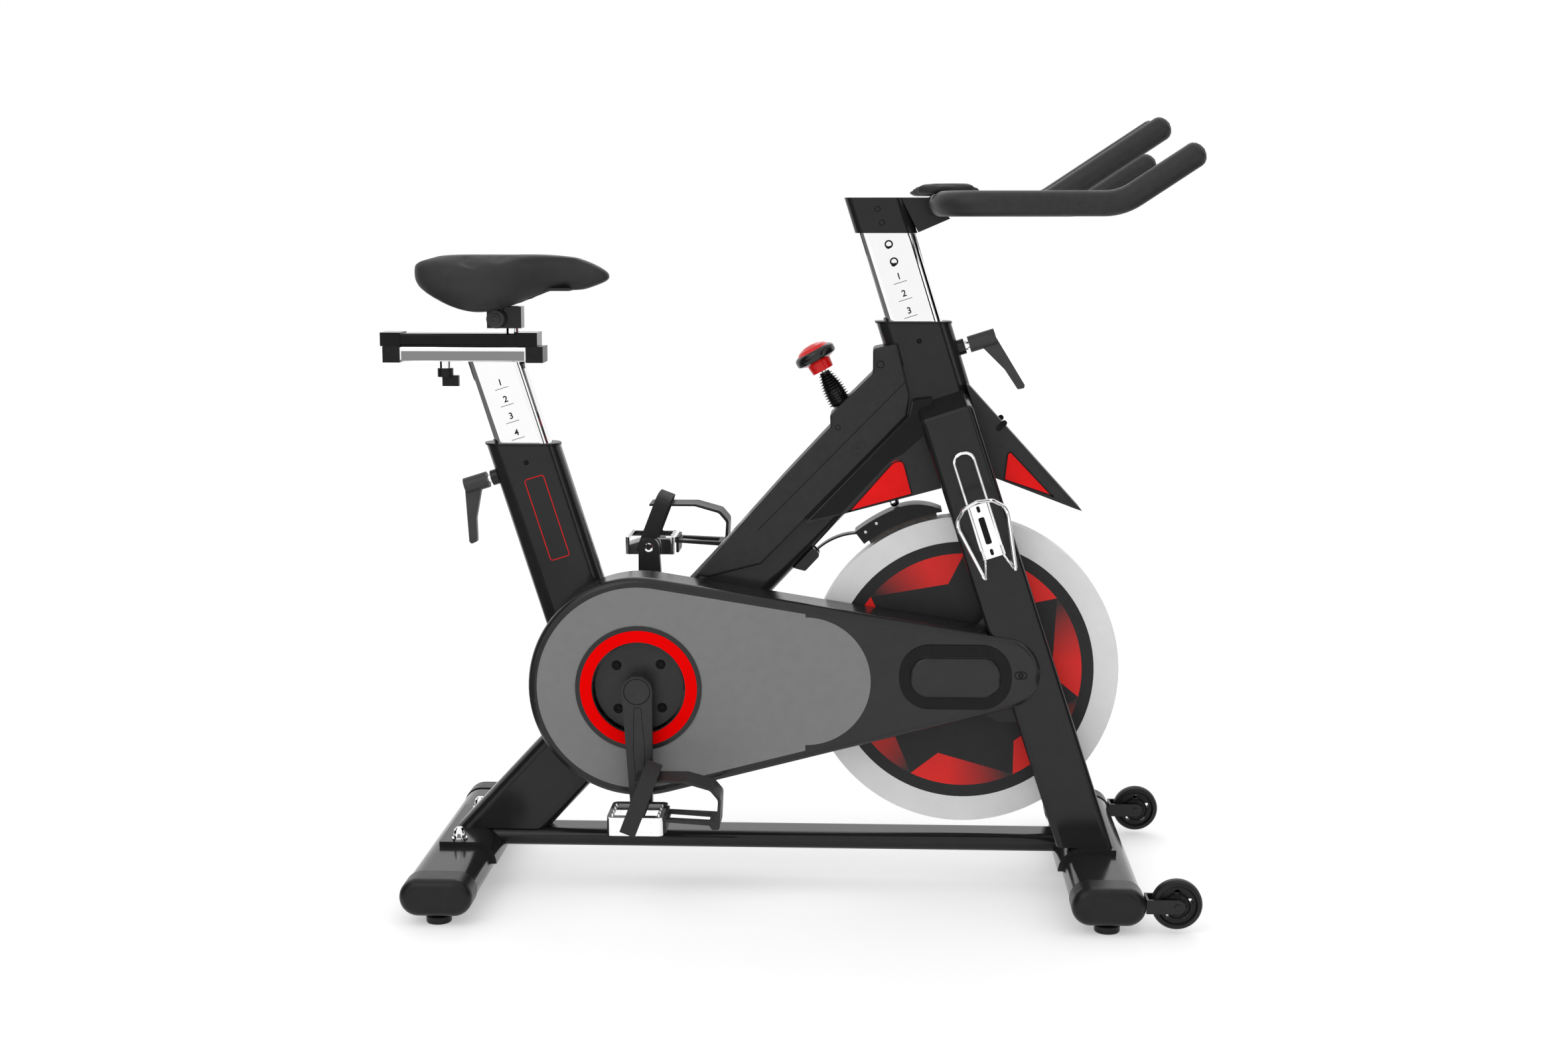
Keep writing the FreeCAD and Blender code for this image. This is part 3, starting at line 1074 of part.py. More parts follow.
def make_lever(prefix, level, top_x_of, side):
    face, outward = pin_seat(level, top_x_of, side)
    barrel_word = f"Dims.{prefix}_barrel_end"
    barrel_end = dim.seat_barrel_end if prefix == "seat" else dim.head_barrel_end
    tip = -(dim.tube_width - dim.post_width) / 2 + dim.slide_gap
    start = dim.boss_length + dim.slide_gap
    r = dim.pin_radius
    node(prefix + "_pin", turned(prefix + "_pin", [
        (0, tip), (r, tip), (r, start), (7, start), (7, start + 3), (r, start + 3),
        (r, barrel_end - 6), (0, barrel_end - 6)], face, outward))

    barrel = turned(prefix + "_barrel", [
        (r + dim.bearing_play, dim.barrel_start), (dim.barrel_radius, dim.barrel_start),
        (dim.barrel_radius, barrel_end), (0, barrel_end), (0, barrel_end - 5.7),
        (r + dim.bearing_play, barrel_end - 5.7)], face, outward)
    arm = new_body(prefix + "_arm")
    sketch = new_sketch(arm, "XZ_Plane", -dim.arm_depth / 2)
    far, long = barrel_end, dim.arm_length
    outline = [(0, far - 19), (0, far), (long - 4, far + 19), (long, far + 17), (long - 1, far + 8),
               (0.6 * long, far - 1), (0.55 * long, far - 3), (12, far - 20)]
    draw(sketch, rounded(outline, [0, 2, 2, 2, 2, 2, 1, 0]))
    pad(arm, sketch, "Dims.arm_depth")
    down = Vector(POST_SIN, 0, -POST_COS)
    across = outward.cross(down)
    arm.Placement = Placement(face, Rotation(down, across, outward, "ZXY"))
    pin_room = cylinder(prefix + "_pin_room", "Dims.pin_radius + Dims.bearing_play",
                        f"{barrel_word} - 5.7", face, outward)
    node(prefix + "_lever", fuse(prefix + "_lever", barrel, cut(prefix + "_arm_cut", arm, pin_room)))


# ---- brake ---------------------------------------------------------------------------------

def around_wheel(radius, degrees):
    angle = math.radians(degrees)
    return Vector(dim.wheel_x + radius * math.cos(angle), dim.wheel_z + radius * math.sin(angle), 0)


def band(inner, outer, start, end):
    middle = (start + end) / 2
    return [Part.Arc(around_wheel(inner, start), around_wheel(inner, middle), around_wheel(inner, end)),
            Part.LineSegment(around_wheel(inner, end), around_wheel(outer, end)),
            Part.Arc(around_wheel(outer, end), around_wheel(outer, middle), around_wheel(outer, start)),
            Part.LineSegment(around_wheel(outer, start), around_wheel(inner, start))]


def shoe_outline(inner, outer, grow):
    """curved bracket over the rim, tall at its rear end and tapering to its front end"""
    start, end = dim.shoe_start + grow * 0.6, dim.shoe_end + grow
    crest = start + 13
    low = inner + 3
    return [Part.Arc(around_wheel(inner, start), around_wheel(inner, (start + end) / 2),
                     around_wheel(inner, end)),
            Part.LineSegment(around_wheel(inner, end), around_wheel(outer, end)),
            Part.Arc(around_wheel(outer, end), around_wheel(outer, (end + crest) / 2),
                     around_wheel(outer, crest)),
            Part.Arc(around_wheel(outer, crest), around_wheel((2 * outer + low) / 3, start + 6),
                     around_wheel(low, start)),
            Part.LineSegment(around_wheel(low, start), around_wheel(inner, start))]


def rod_reach(start, radius):
    """distance from the knob down the rod to a circle about the flywheel axle"""
    across = start - Vector(dim.wheel_x, 0, dim.wheel_z)
    middle = across.dot(BRAKE_UP)
    return middle - math.sqrt(middle ** 2 - across.Length ** 2 + radius ** 2)


def make_brake():
    centre = Vector(dim.brake_x, 0, dim.brake_z)
    base = centre - BRAKE_UP * 24
    r = dim.rod_radius
    disc_r, base_r = dim.knob_disc, dim.knob_base
    node("resistance_knob", turned("resistance_knob", [
        (r + dim.bearing_play, 0), (base_r, 0), (base_r + 1.5, 13), (disc_r - 4, 16), (disc_r, 20),
        (disc_r, 26), (disc_r - 4, 30), (19, 35), (10, 38.5), (0, 39.5), (0, 20.3),
        (r + dim.bearing_play, 20.3)], base, BRAKE_UP))

    pad_in = dim.wheel_radius + dim.pad_gap
    shoe_in = pad_in + dim.pad_thickness
    shoe_out = shoe_in + dim.shoe_height
    ball = dim.foot_ball
    rod_length = rod_reach(centre, shoe_out + ball + dim.slide_gap) + ball - 24 + 20
    foot = base + BRAKE_UP * (20 - rod_length)
    dome = [(ball * math.sin(math.radians(turn)), ball - ball * math.cos(math.radians(turn)))
            for turn in (0, 22, 45, 68, 90)]
    node("brake_rod", turned("brake_rod", [*dome, (ball, ball + 3), (r, ball + 5), (r, rod_length),
                                           (0, rod_length)], foot, BRAKE_UP))

    ribs = [(r + 0.4, -0.4), (7.5, -0.4), (7.5, -4)]
    for i in range(10):
        level = -6 - 4.4 * i
        wide = 9.5 + 7.5 * math.sin(math.pi * min(i + 1, 8) / 16)
        ribs += [(wide, level), (wide - 3.4, level - 2.2)]
    ribs += [(13, -52), (13, -64), (r + 2, -64), (r + 2, -5), (r + 0.4, -5)]
    boot = turned("bellows_turned", ribs, base, BRAKE_UP)
    under = side_pad("shroud_in_boot", [rounded(shroud_points(0), 0)], 60, "120")
    node("bellows", cut("bellows", boot, under))

    shoe = side_pad("shoe_band", [shoe_outline(shoe_in, shoe_out, 0)], dim.shoe_half,
                    "2 * Dims.shoe_half")
    hollow = side_pad("shoe_hollow", [shoe_outline(shoe_in - 1, shoe_out - 3, 3)], dim.shoe_half - 3,
                      "2 * Dims.shoe_half - 6")
    end = around_wheel(shoe_out - 6, dim.shoe_end)
    anchor = Vector(*beam_point(dim.brake_pivot_along, dim.tube_width / 2 + dim.brake_pivot_below), 0)
    along = (end - anchor).normalize()
    up = Vector(-along.y, along.x, 0)
    middle = (end + anchor) * 0.5 + up * 7
    leaf = side_pad("leaf_strip", [[Part.Arc(anchor, middle, end),
                                    Part.LineSegment(end, end + up * 2.5),
                                    Part.Arc(end + up * 2.5, middle + up * 2.5, anchor + up * 2.5),
                                    Part.LineSegment(anchor + up * 2.5, anchor)]], dim.leaf_half,
                    "2 * Dims.leaf_half")
    axis_start = Vector(anchor.x, -dim.leaf_half, anchor.y)
    eye = cylinder("leaf_eye", "Dims.pivot_eye", "2 * Dims.leaf_half", axis_start, Y_AXIS)
    bore = cylinder("leaf_bore", "Dims.pivot_pin + Dims.bearing_play", "2 * Dims.leaf_half", axis_start,
                    Y_AXIS)
    arm = fuse("brake_arm_joined", cut("shoe_shell", shoe, hollow), leaf, eye)
    node("brake_arm", cut("brake_arm", arm, bore))
    node("brake_pad", side_pad("brake_pad", [band(pad_in, shoe_in, dim.shoe_start + 2, dim.shoe_end - 2)],
                               dim.shoe_half - 3, "2 * Dims.shoe_half - 6"))


# ---- bottle cage ---------------------------------------------------------------------------

def make_bottle_cage():
    r = dim.wire_radius
    high = 575
    reach = 2 * dim.bottle_radius + 2 * r
    wire_y = -dim.leg_outer - r - 0.1
    front = wire_y - reach
    points = [(0, front, 519), (-20, front + 6, 514), (-36, wire_y - 44, 494), (-21, front + 2, 414),
              (-14, wire_y - 12, 428), (-14, wire_y, 440), (-14, wire_y, high), (0, wire_y, high + 2)]
    path = bent_path("cage_right", points, [12, 16, 5, 5, 5, 13])
    wire = swept("cage_wire", path, "Dims.wire_radius")
    place = leg_frame().multiply(Placement(Vector(3, 0, 0), Rotation()))
    wire.Placement = place
    other = doc.addObject("Part::Mirroring", "cage_wire_other")
    other.Source = swept("cage_wire_copy", path, "Dims.wire_radius")
    other.Base = Vector(0, 0, 0)
    other.Normal = X_AXIS
    other.Placement = place
    plate = block("cage_plate", (-12, -dim.leg_outer - 3, 428), (12, -dim.leg_outer - 0.1, 504))
    plate.Placement = place.multiply(plate.Placement)
    node("bottle_cage", fuse("bottle_cage", wire, other, plate))


make_beam()
make_post_tube("seat_tube", seat_x, dim.beam_start, dim.seat_pin_z, -1,
               beam_solid("beam_in_seat_tube"))
make_post_tube("head_tube", head_x, dim.head_bottom_z, dim.head_pin_z, 1)
node("sleeve_liners", group("sleeve_liners", make_liner("seat_liner", seat_x, dim.seat_top_z),
                            make_liner("head_liner", head_x, dim.head_top_z)))
make_base()
make_fork()
make_stabilisers()
make_feet()
make_casters()
make_drive()
for title, direction in (("right", -1), ("left", 1)):
    make_crank(title + "_crank", direction)
    make_pedal(title + "_pedal", direction)
make_guard()
make_shrouds()
make_fender()
make_seat_post()
make_carriage()
make_knob()
make_saddle()
make_handlebar()
make_lever("seat", dim.seat_pin_z, seat_x, -1)
make_lever("head", dim.head_pin_z, head_x, 1)
make_brake()
make_bottle_cage()

doc.recompute()
faults = [f"{item.Name}: {item.State}" for item in doc.Objects
          if "Invalid" in item.State or "Error" in item.State]
for item in NODES:
    if item.Shape.isNull() or not item.Shape.isValid() or not item.Shape.Solids:
        faults.append(f"{item.Label}: shape is null or not valid")
if faults:
    raise RuntimeError("\n".join(faults))

os.makedirs("parts", exist_ok=True)
for item in NODES:
    item.Shape.exportStep(f"parts/{item.Label}.step")
print(len(NODES), "nodes written")
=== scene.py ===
import json
import math
import bmesh
import bpy
from mathutils import Matrix, Vector


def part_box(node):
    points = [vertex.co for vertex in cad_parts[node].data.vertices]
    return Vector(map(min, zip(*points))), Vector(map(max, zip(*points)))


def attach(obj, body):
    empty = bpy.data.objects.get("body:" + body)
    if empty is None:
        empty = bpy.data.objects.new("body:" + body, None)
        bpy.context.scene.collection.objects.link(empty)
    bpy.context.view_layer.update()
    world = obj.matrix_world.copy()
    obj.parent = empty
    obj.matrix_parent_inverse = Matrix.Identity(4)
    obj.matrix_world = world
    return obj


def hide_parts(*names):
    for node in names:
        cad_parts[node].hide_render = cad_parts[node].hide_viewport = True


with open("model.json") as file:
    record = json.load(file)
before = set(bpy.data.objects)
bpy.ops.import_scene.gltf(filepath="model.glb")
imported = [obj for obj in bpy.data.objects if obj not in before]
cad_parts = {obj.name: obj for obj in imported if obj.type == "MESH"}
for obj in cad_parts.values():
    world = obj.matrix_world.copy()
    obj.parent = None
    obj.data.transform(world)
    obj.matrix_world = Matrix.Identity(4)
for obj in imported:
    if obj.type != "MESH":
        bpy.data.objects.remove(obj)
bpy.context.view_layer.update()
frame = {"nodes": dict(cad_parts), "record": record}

scene = bpy.context.scene
mm = 0.001
nodeBody = {node: body for body, nodes in frame["record"]["behaviour"]["bodies"].items() for node in nodes}
print("frame loaded,", len(frame["nodes"]), "nodes")


# camera, floor and light

studio = {
    "cameraPlace": (0.1295, -2.908, 0.933), "tiltDown": 8.19, "turnLeft": 2.555, "lens": 48.15,
    "floorWhite": 0.86, "floorGlow": 0.35, "worldWhite": 1.0, "worldFill": 0.78,
    "keyPower": 16, "fillPower": 8, "rimPower": 12,
}

camera = bpy.data.objects.new("camera", bpy.data.cameras.new("camera"))
camera.location = studio["cameraPlace"]
camera.rotation_euler = (math.radians(90 - studio["tiltDown"]), 0, math.radians(studio["turnLeft"]))
camera.data.lens = studio["lens"]
camera.data.sensor_width = 36
scene.collection.objects.link(camera)
scene.camera = camera
scene.view_settings.view_transform = "Standard"


def seenDirectly(tree):
    # 1 where the eye, a mirror or glass looks at the surface, 0 where only its light counts
    path = tree.nodes.new("ShaderNodeLightPath")
    glossy = tree.nodes.new("ShaderNodeMath")
    glossy.operation = "MAXIMUM"
    tree.links.new(path.outputs["Is Camera Ray"], glossy.inputs[0])
    tree.links.new(path.outputs["Is Glossy Ray"], glossy.inputs[1])
    every = tree.nodes.new("ShaderNodeMath")
    every.operation = "MAXIMUM"
    tree.links.new(glossy.outputs[0], every.inputs[0])
    tree.links.new(path.outputs["Is Transmission Ray"], every.inputs[1])
    return every.outputs[0]


def makeWorld():
    world = bpy.data.worlds.new("studioWorld")
    scene.world = world
    world.use_nodes = True
    tree = world.node_tree
    tree.nodes.clear()
    out = tree.nodes.new("ShaderNodeOutputWorld")
    mix = tree.nodes.new("ShaderNodeMixShader")
    fill = tree.nodes.new("ShaderNodeBackground")
    fill.inputs["Strength"].default_value = studio["worldFill"]
    white = tree.nodes.new("ShaderNodeBackground")
    white.inputs["Strength"].default_value = studio["worldWhite"]
    for shade in (fill, white):
        shade.inputs["Color"].default_value = (1, 1, 1, 1)
    tree.links.new(seenDirectly(tree), mix.inputs[0])
    tree.links.new(fill.outputs[0], mix.inputs[1])
    tree.links.new(white.outputs[0], mix.inputs[2])
    tree.links.new(mix.outputs[0], out.inputs[0])


def makeFloor():
    bm = bmesh.new()
    bmesh.ops.create_grid(bm, x_segments=1, y_segments=1, size=14)
    mesh = bpy.data.meshes.new("studioFloor")
    bm.to_mesh(mesh)
    bm.free()
    floor = bpy.data.objects.new("studioFloor", mesh)
    scene.collection.objects.link(floor)
    material = bpy.data.materials.new("floorWhite")
    material.use_nodes = True
    tree = material.node_tree
    shader = tree.nodes["Principled BSDF"]
    shader.inputs["Base Color"].default_value = (studio["floorWhite"],) * 3 + (1,)
    shader.inputs["Roughness"].default_value = 0.6
    shader.inputs["Specular IOR Level"].default_value = 0.15
    glow = tree.nodes.new("ShaderNodeEmission")
    glow.inputs["Strength"].default_value = studio["floorGlow"]
    lit = tree.nodes.new("ShaderNodeAddShader")
    tree.links.new(shader.outputs[0], lit.inputs[0])
    tree.links.new(glow.outputs[0], lit.inputs[1])
    mix = tree.nodes.new("ShaderNodeMixShader")
    tree.links.new(seenDirectly(tree), mix.inputs[0])
    tree.links.new(shader.outputs[0], mix.inputs[1])
    tree.links.new(lit.outputs[0], mix.inputs[2])
    tree.links.new(mix.outputs[0], tree.nodes["Material Output"].inputs["Surface"])
    mesh.materials.append(material)


def makeLamp(name, place, target, size, power):
    light = bpy.data.lights.new(name, "AREA")
    light.shape = "SQUARE"
    light.size = size
    light.energy = power
    lamp = bpy.data.objects.new(name, light)
    lamp.location = place
    lamp.rotation_euler = (Vector(target) - Vector(place)).to_track_quat("-Z", "Y").to_euler()
    scene.collection.objects.link(lamp)


# boards round the bike that only glossy surfaces see: they draw the dark bands on round corners
boards = {"rightBoard": {"size": (2.6, 3.0), "place": (3.1, -0.45, 1.5), "turn": (90, 0, 90), "tone": 0.0},
          "leftBoard": {"size": (2.6, 3.0), "place": (-3.1, -0.45, 1.5), "turn": (90, 0, 90), "tone": 0.0},
          "frontBoard": {"size": (0.75, 2.6), "place": (1.75, -2.3, 1.9), "turn": (90, 0, 37), "tone": 0.0},
          "leftFloorBoard": {"size": (2.6, 3.4), "place": (-2.0, -1.1, 0.004), "turn": (0, 0, 0), "tone": 0.16},
          "rightFloorBoard": {"size": (1.2, 2.2), "place": (1.5, -0.3, 0.004), "turn": (0, 0, 0), "tone": 0.1}}


def makeBoard(name, board):
    bm = bmesh.new()
    bmesh.ops.create_grid(bm, x_segments=1, y_segments=1, size=0.5)
    bmesh.ops.scale(bm, verts=bm.verts, vec=board["size"] + (1,))
    mesh = bpy.data.meshes.new(name)
    bm.to_mesh(mesh)
    bm.free()
    card = bpy.data.objects.new(name, mesh)
    card.location = board["place"]
    card.rotation_euler = [math.radians(angle) for angle in board["turn"]]
    scene.collection.objects.link(card)
    material = bpy.data.materials.new(name)
    material.use_nodes = True
    shader = material.node_tree.nodes["Principled BSDF"]
    shader.inputs["Base Color"].default_value = (board["tone"],) * 3 + (1,)
    shader.inputs["Specular IOR Level"].default_value = 0.0
    mesh.materials.append(material)
    card.visible_camera = False
    card.visible_diffuse = False
    card.visible_shadow = False


makeWorld()
makeFloor()
for name, board in boards.items():
    makeBoard(name, board)
makeLamp("keyLamp", (-1.6, -2.4, 2.9), (0, 0, 0.5), 2.2, studio["keyPower"])
makeLamp("fillLamp", (2.6, -1.6, 1.8), (0, 0, 0.5), 2.4, studio["fillPower"])
makeLamp("rimLamp", (0.3, 2.4, 2.6), (0, 0, 0.6), 2.0, studio["rimPower"])
print("studio ready")


# shared surface effects

def newGroup(name, inputs, outputs):
    group = bpy.data.node_groups.new(name, "ShaderNodeTree")
    for word, kind, value in inputs:
        socket = group.interface.new_socket(word, in_out="INPUT", socket_type=kind)
        if value is not None:
            socket.default_value = value
    for word in outputs:
        group.interface.new_socket(word, in_out="OUTPUT", socket_type="NodeSocketFloat")
    return group, group.nodes.new("NodeGroupInput"), group.nodes.new("NodeGroupOutput")


def noise(tree, vector, scale, detail=2.0, rough=0.5):
    made = tree.nodes.new("ShaderNodeTexNoise")
    made.inputs["Detail"].default_value = detail
    made.inputs["Roughness"].default_value = rough
    tree.links.new(vector, made.inputs["Vector"])
    if isinstance(scale, (int, float)):
        made.inputs["Scale"].default_value = scale
    else:
        tree.links.new(scale, made.inputs["Scale"])
    return made.outputs["Fac"]


def math2(tree, operation, first, second):
    made = tree.nodes.new("ShaderNodeMath")
    made.operation = operation
    for socket, value in zip(made.inputs, (first, second)):
        if isinstance(value, (int, float)):
            socket.default_value = value
        else:
            tree.links.new(value, socket)
    return made.outputs[0]


def ramped(tree, value, low, high):
    made = tree.nodes.new("ShaderNodeMapRange")
    made.inputs["From Min"].default_value = low
    made.inputs["From Max"].default_value = high
    tree.links.new(value, made.inputs["Value"])
    return made.outputs["Result"]


def makeGrain():
    # fine moulded or sprayed texture
    group, start, end = newGroup("mouldedGrain", [("Vector", "NodeSocketVector", None),
                                                  ("Scale", "NodeSocketFloat", 900.0)], ["Height", "Tone"])
    fine = noise(group, start.outputs["Vector"], start.outputs["Scale"], 3.0, 0.6)
    coarse = noise(group, start.outputs["Vector"], math2(group, "MULTIPLY", start.outputs["Scale"], 0.07), 2.0)
    group.links.new(fine, end.inputs["Height"])
    group.links.new(ramped(group, math2(group, "ADD", math2(group, "MULTIPLY", fine, 0.4),
                                        math2(group, "MULTIPLY", coarse, 0.6)), 0.35, 0.65), end.inputs["Tone"])
    return group


def makeHandling():
    # faint smears and rubbed patches that change only how glossy a surface is
    group, start, end = newGroup("handlingMarks", [("Vector", "NodeSocketVector", None),
                                                   ("Size", "NodeSocketFloat", 14.0)], ["Mask"])
    patches = ramped(group, noise(group, start.outputs["Vector"], start.outputs["Size"], 4.0, 0.6), 0.45, 0.7)
    streaks = noise(group, start.outputs["Vector"], math2(group, "MULTIPLY", start.outputs["Size"], 9.0), 3.0, 0.7)
    group.links.new(math2(group, "MULTIPLY", patches, ramped(group, streaks, 0.3, 0.7)), end.inputs["Mask"])
    return group


def makeDust():
    # pale dust on faces that look up
    group, start, end = newGroup("settledDust", [("Vector", "NodeSocketVector", None)], ["Mask"])
    facing = group.nodes.new("ShaderNodeNewGeometry")
    split = group.nodes.new("ShaderNodeSeparateXYZ")
    group.links.new(facing.outputs["Normal"], split.inputs[0])
    up = ramped(group, split.outputs["Z"], 0.55, 1.0)
    group.links.new(math2(group, "MULTIPLY", up, noise(group, start.outputs["Vector"], 60.0, 4.0, 0.7)),
                    end.inputs["Mask"])
    return group


def makeBrushed():
    # long fine lines left by polishing or rolling
    group, start, end = newGroup("brushedLines", [("Vector", "NodeSocketVector", None),
                                                  ("Stretch", "NodeSocketVector", (40.0, 900.0, 900.0))],
                                 ["Height"])
    scaled = group.nodes.new("ShaderNodeVectorMath")
    scaled.operation = "MULTIPLY"
    group.links.new(start.outputs["Vector"], scaled.inputs[0])
    group.links.new(start.outputs["Stretch"], scaled.inputs[1])
    group.links.new(noise(group, scaled.outputs[0], 1.0, 3.0, 0.7), end.inputs["Height"])
    return group


def makePebble():
    # small raised cells of vinyl
    group, start, end = newGroup("vinylPebble", [("Vector", "NodeSocketVector", None),
                                                 ("Scale", "NodeSocketFloat", 620.0)], ["Height", "Tone"])
    cells = group.nodes.new("ShaderNodeTexVoronoi")
    cells.feature = "SMOOTH_F1"
    cells.inputs["Smoothness"].default_value = 0.6
    group.links.new(start.outputs["Vector"], cells.inputs["Vector"])
    group.links.new(start.outputs["Scale"], cells.inputs["Scale"])
    domes = ramped(group, cells.outputs["Distance"], 0.75, 0.1)
    group.links.new(domes, end.inputs["Height"])
    group.links.new(ramped(group, noise(group, start.outputs["Vector"], 22.0, 3.0), 0.35, 0.65), end.inputs["Tone"])
    return group


def makeWeave():
    # crossing ribs of a flat strap, on the strap's own unwrapping
    group, start, end = newGroup("strapWeave", [("Vector", "NodeSocketVector", None)], ["Height", "Tone"])
    ribs = []
    for direction, scale in (("X", 26.0), ("Y", 150.0)):
        wave = group.nodes.new("ShaderNodeTexWave")
        wave.bands_direction = direction
        wave.inputs["Scale"].default_value = scale
        wave.inputs["Distortion"].default_value = 0.4
        group.links.new(start.outputs["Vector"], wave.inputs["Vector"])
        ribs.append(wave.outputs["Fac"])
    group.links.new(math2(group, "MULTIPLY", ribs[0], ribs[1]), end.inputs["Height"])
    group.links.new(noise(group, start.outputs["Vector"], 30.0, 3.0), end.inputs["Tone"])
    return group


effects = {"grain": makeGrain(), "handling": makeHandling(), "dust": makeDust(), "brushed": makeBrushed(),
           "pebble": makePebble(), "weave": makeWeave()}

# one entry for each finish: colours, gloss, what texture it carries and how deep it is in millimetres
finishes = {
    "frame_paint": {"colour": (0.013, 0.013, 0.014), "shade": (0.016, 0.016, 0.017), "rough": 0.15,
                    "texture": "grain", "scale": 700, "depth": 0.006, "specular": 0.28, "dust": 0.02},
    "guard_plastic": {"colour": (0.017, 0.017, 0.018), "shade": (0.021, 0.021, 0.022), "rough": 0.2,
                      "texture": "grain", "scale": 700, "depth": 0.004, "specular": 0.32, "dust": 0.02},
    "panel_grey": {"colour": (0.215, 0.215, 0.215), "shade": (0.232, 0.232, 0.232), "rough": 0.5,
                   "texture": "grain", "scale": 900, "depth": 0.02, "specular": 0.3, "dust": 0.02},
    "ring_red": {"colour": (1.0, 0.0, 0.0), "shade": (0.95, 0.0, 0.0), "rough": 0.5,
                 "texture": "grain", "scale": 500, "depth": 0.01, "specular": 0.03, "dust": 0.0},
    "shroud_plastic": {"colour": (0.02, 0.02, 0.021), "shade": (0.026, 0.026, 0.027), "rough": 0.42,
                       "texture": "grain", "scale": 1300, "depth": 0.04, "specular": 0.26, "dust": 0.03},
    "black_plastic": {"colour": (0.007, 0.007, 0.008), "shade": (0.011, 0.011, 0.012), "rough": 0.3,
                      "texture": "grain", "scale": 1500, "depth": 0.03, "specular": 0.2, "dust": 0.04},
    "chrome": {"colour": (0.95, 0.95, 0.955), "shade": (0.9, 0.9, 0.905), "rough": 0.04, "metal": 1,
               "texture": "brushed", "stretch": (50, 400, 50), "depth": 0.002, "dust": 0.0},
    "steel": {"colour": (0.42, 0.42, 0.43), "shade": (0.34, 0.34, 0.35), "rough": 0.3, "metal": 1,
              "texture": "brushed", "stretch": (900, 60, 900), "depth": 0.01, "dust": 0.0},
    "zinc_steel": {"colour": (0.6, 0.6, 0.61), "shade": (0.5, 0.5, 0.51), "rough": 0.22, "metal": 1,
                   "texture": "grain", "scale": 300, "depth": 0.02, "dust": 0.0},
    "flywheel_iron": {"colour": (0.86, 0.86, 0.86), "shade": (0.81, 0.81, 0.81), "rough": 0.4, "metal": 0.1,
                      "texture": "grain", "scale": 420, "depth": 0.01, "dust": 0.0},
    "flywheel_print": {"colour": (0.016, 0.016, 0.017), "shade": (0.02, 0.02, 0.021), "rough": 0.4,
                       "texture": "grain", "scale": 700, "depth": 0.01, "specular": 0.25, "dust": 0.0},
    "pulley_aluminium": {"colour": (0.5, 0.5, 0.51), "shade": (0.42, 0.42, 0.43), "rough": 0.3, "metal": 1,
                         "texture": "brushed", "stretch": (700, 50, 700), "depth": 0.01, "dust": 0.0},
    "belt_rubber": {"colour": (0.02, 0.02, 0.02), "shade": (0.028, 0.028, 0.028), "rough": 0.7,
                    "texture": "grain", "scale": 1200, "depth": 0.06, "dust": 0.05},
    "rubber": {"colour": (0.008, 0.008, 0.009), "shade": (0.012, 0.012, 0.013), "rough": 0.34,
               "texture": "grain", "scale": 900, "depth": 0.04, "specular": 0.25, "dust": 0.04},
    "wheel_rubber": {"colour": (0.008, 0.008, 0.009), "shade": (0.013, 0.013, 0.014), "rough": 0.42,
                     "texture": "grain", "scale": 1100, "depth": 0.05, "specular": 0.25, "dust": 0.04},
    "crank_steel": {"colour": (0.02, 0.02, 0.021), "shade": (0.026, 0.026, 0.027), "rough": 0.36,
                    "texture": "grain", "scale": 1000, "depth": 0.03, "specular": 0.35, "dust": 0.03},
    "vinyl": {"colour": (0.022, 0.022, 0.023), "shade": (0.029, 0.029, 0.03), "rough": 0.52,
              "texture": "pebble", "scale": 520, "depth": 0.06, "specular": 0.3, "dust": 0.03},
    "bar_coating": {"colour": (0.018, 0.018, 0.019), "shade": (0.025, 0.025, 0.026), "rough": 0.48,
                    "texture": "grain", "scale": 1400, "depth": 0.07, "specular": 0.35, "dust": 0.04},
    "insert_red": {"colour": (0.95, 0.006, 0.006), "shade": (0.85, 0.004, 0.004), "rough": 0.3,
                   "texture": "grain", "scale": 600, "depth": 0.01, "specular": 0.15, "dust": 0.0},
    "knob_plastic": {"colour": (0.75, 0.008, 0.008), "shade": (0.65, 0.005, 0.005), "rough": 0.18,
                     "texture": "grain", "scale": 500, "depth": 0.01, "specular": 0.3, "dust": 0.0},
    "gloss_black": {"colour": (0.004, 0.004, 0.004), "shade": (0.007, 0.007, 0.007), "rough": 0.1,
                    "texture": "grain", "scale": 900, "depth": 0.004, "specular": 0.16, "dust": 0.0},
    "lever_grey": {"colour": (0.042, 0.042, 0.043), "shade": (0.052, 0.052, 0.053), "rough": 0.4,
                   "texture": "grain", "scale": 1300, "depth": 0.03, "specular": 0.3, "dust": 0.02},
    "cage_strap": {"colour": (0.02, 0.02, 0.02), "shade": (0.03, 0.03, 0.03), "rough": 0.45,
                   "texture": "grain", "scale": 1100, "depth": 0.03, "specular": 0.3, "dust": 0.02},
    "brake_felt": {"colour": (0.05, 0.045, 0.04), "shade": (0.075, 0.068, 0.06), "rough": 0.9,
                   "texture": "grain", "scale": 1600, "depth": 0.2, "dust": 0.0},
}


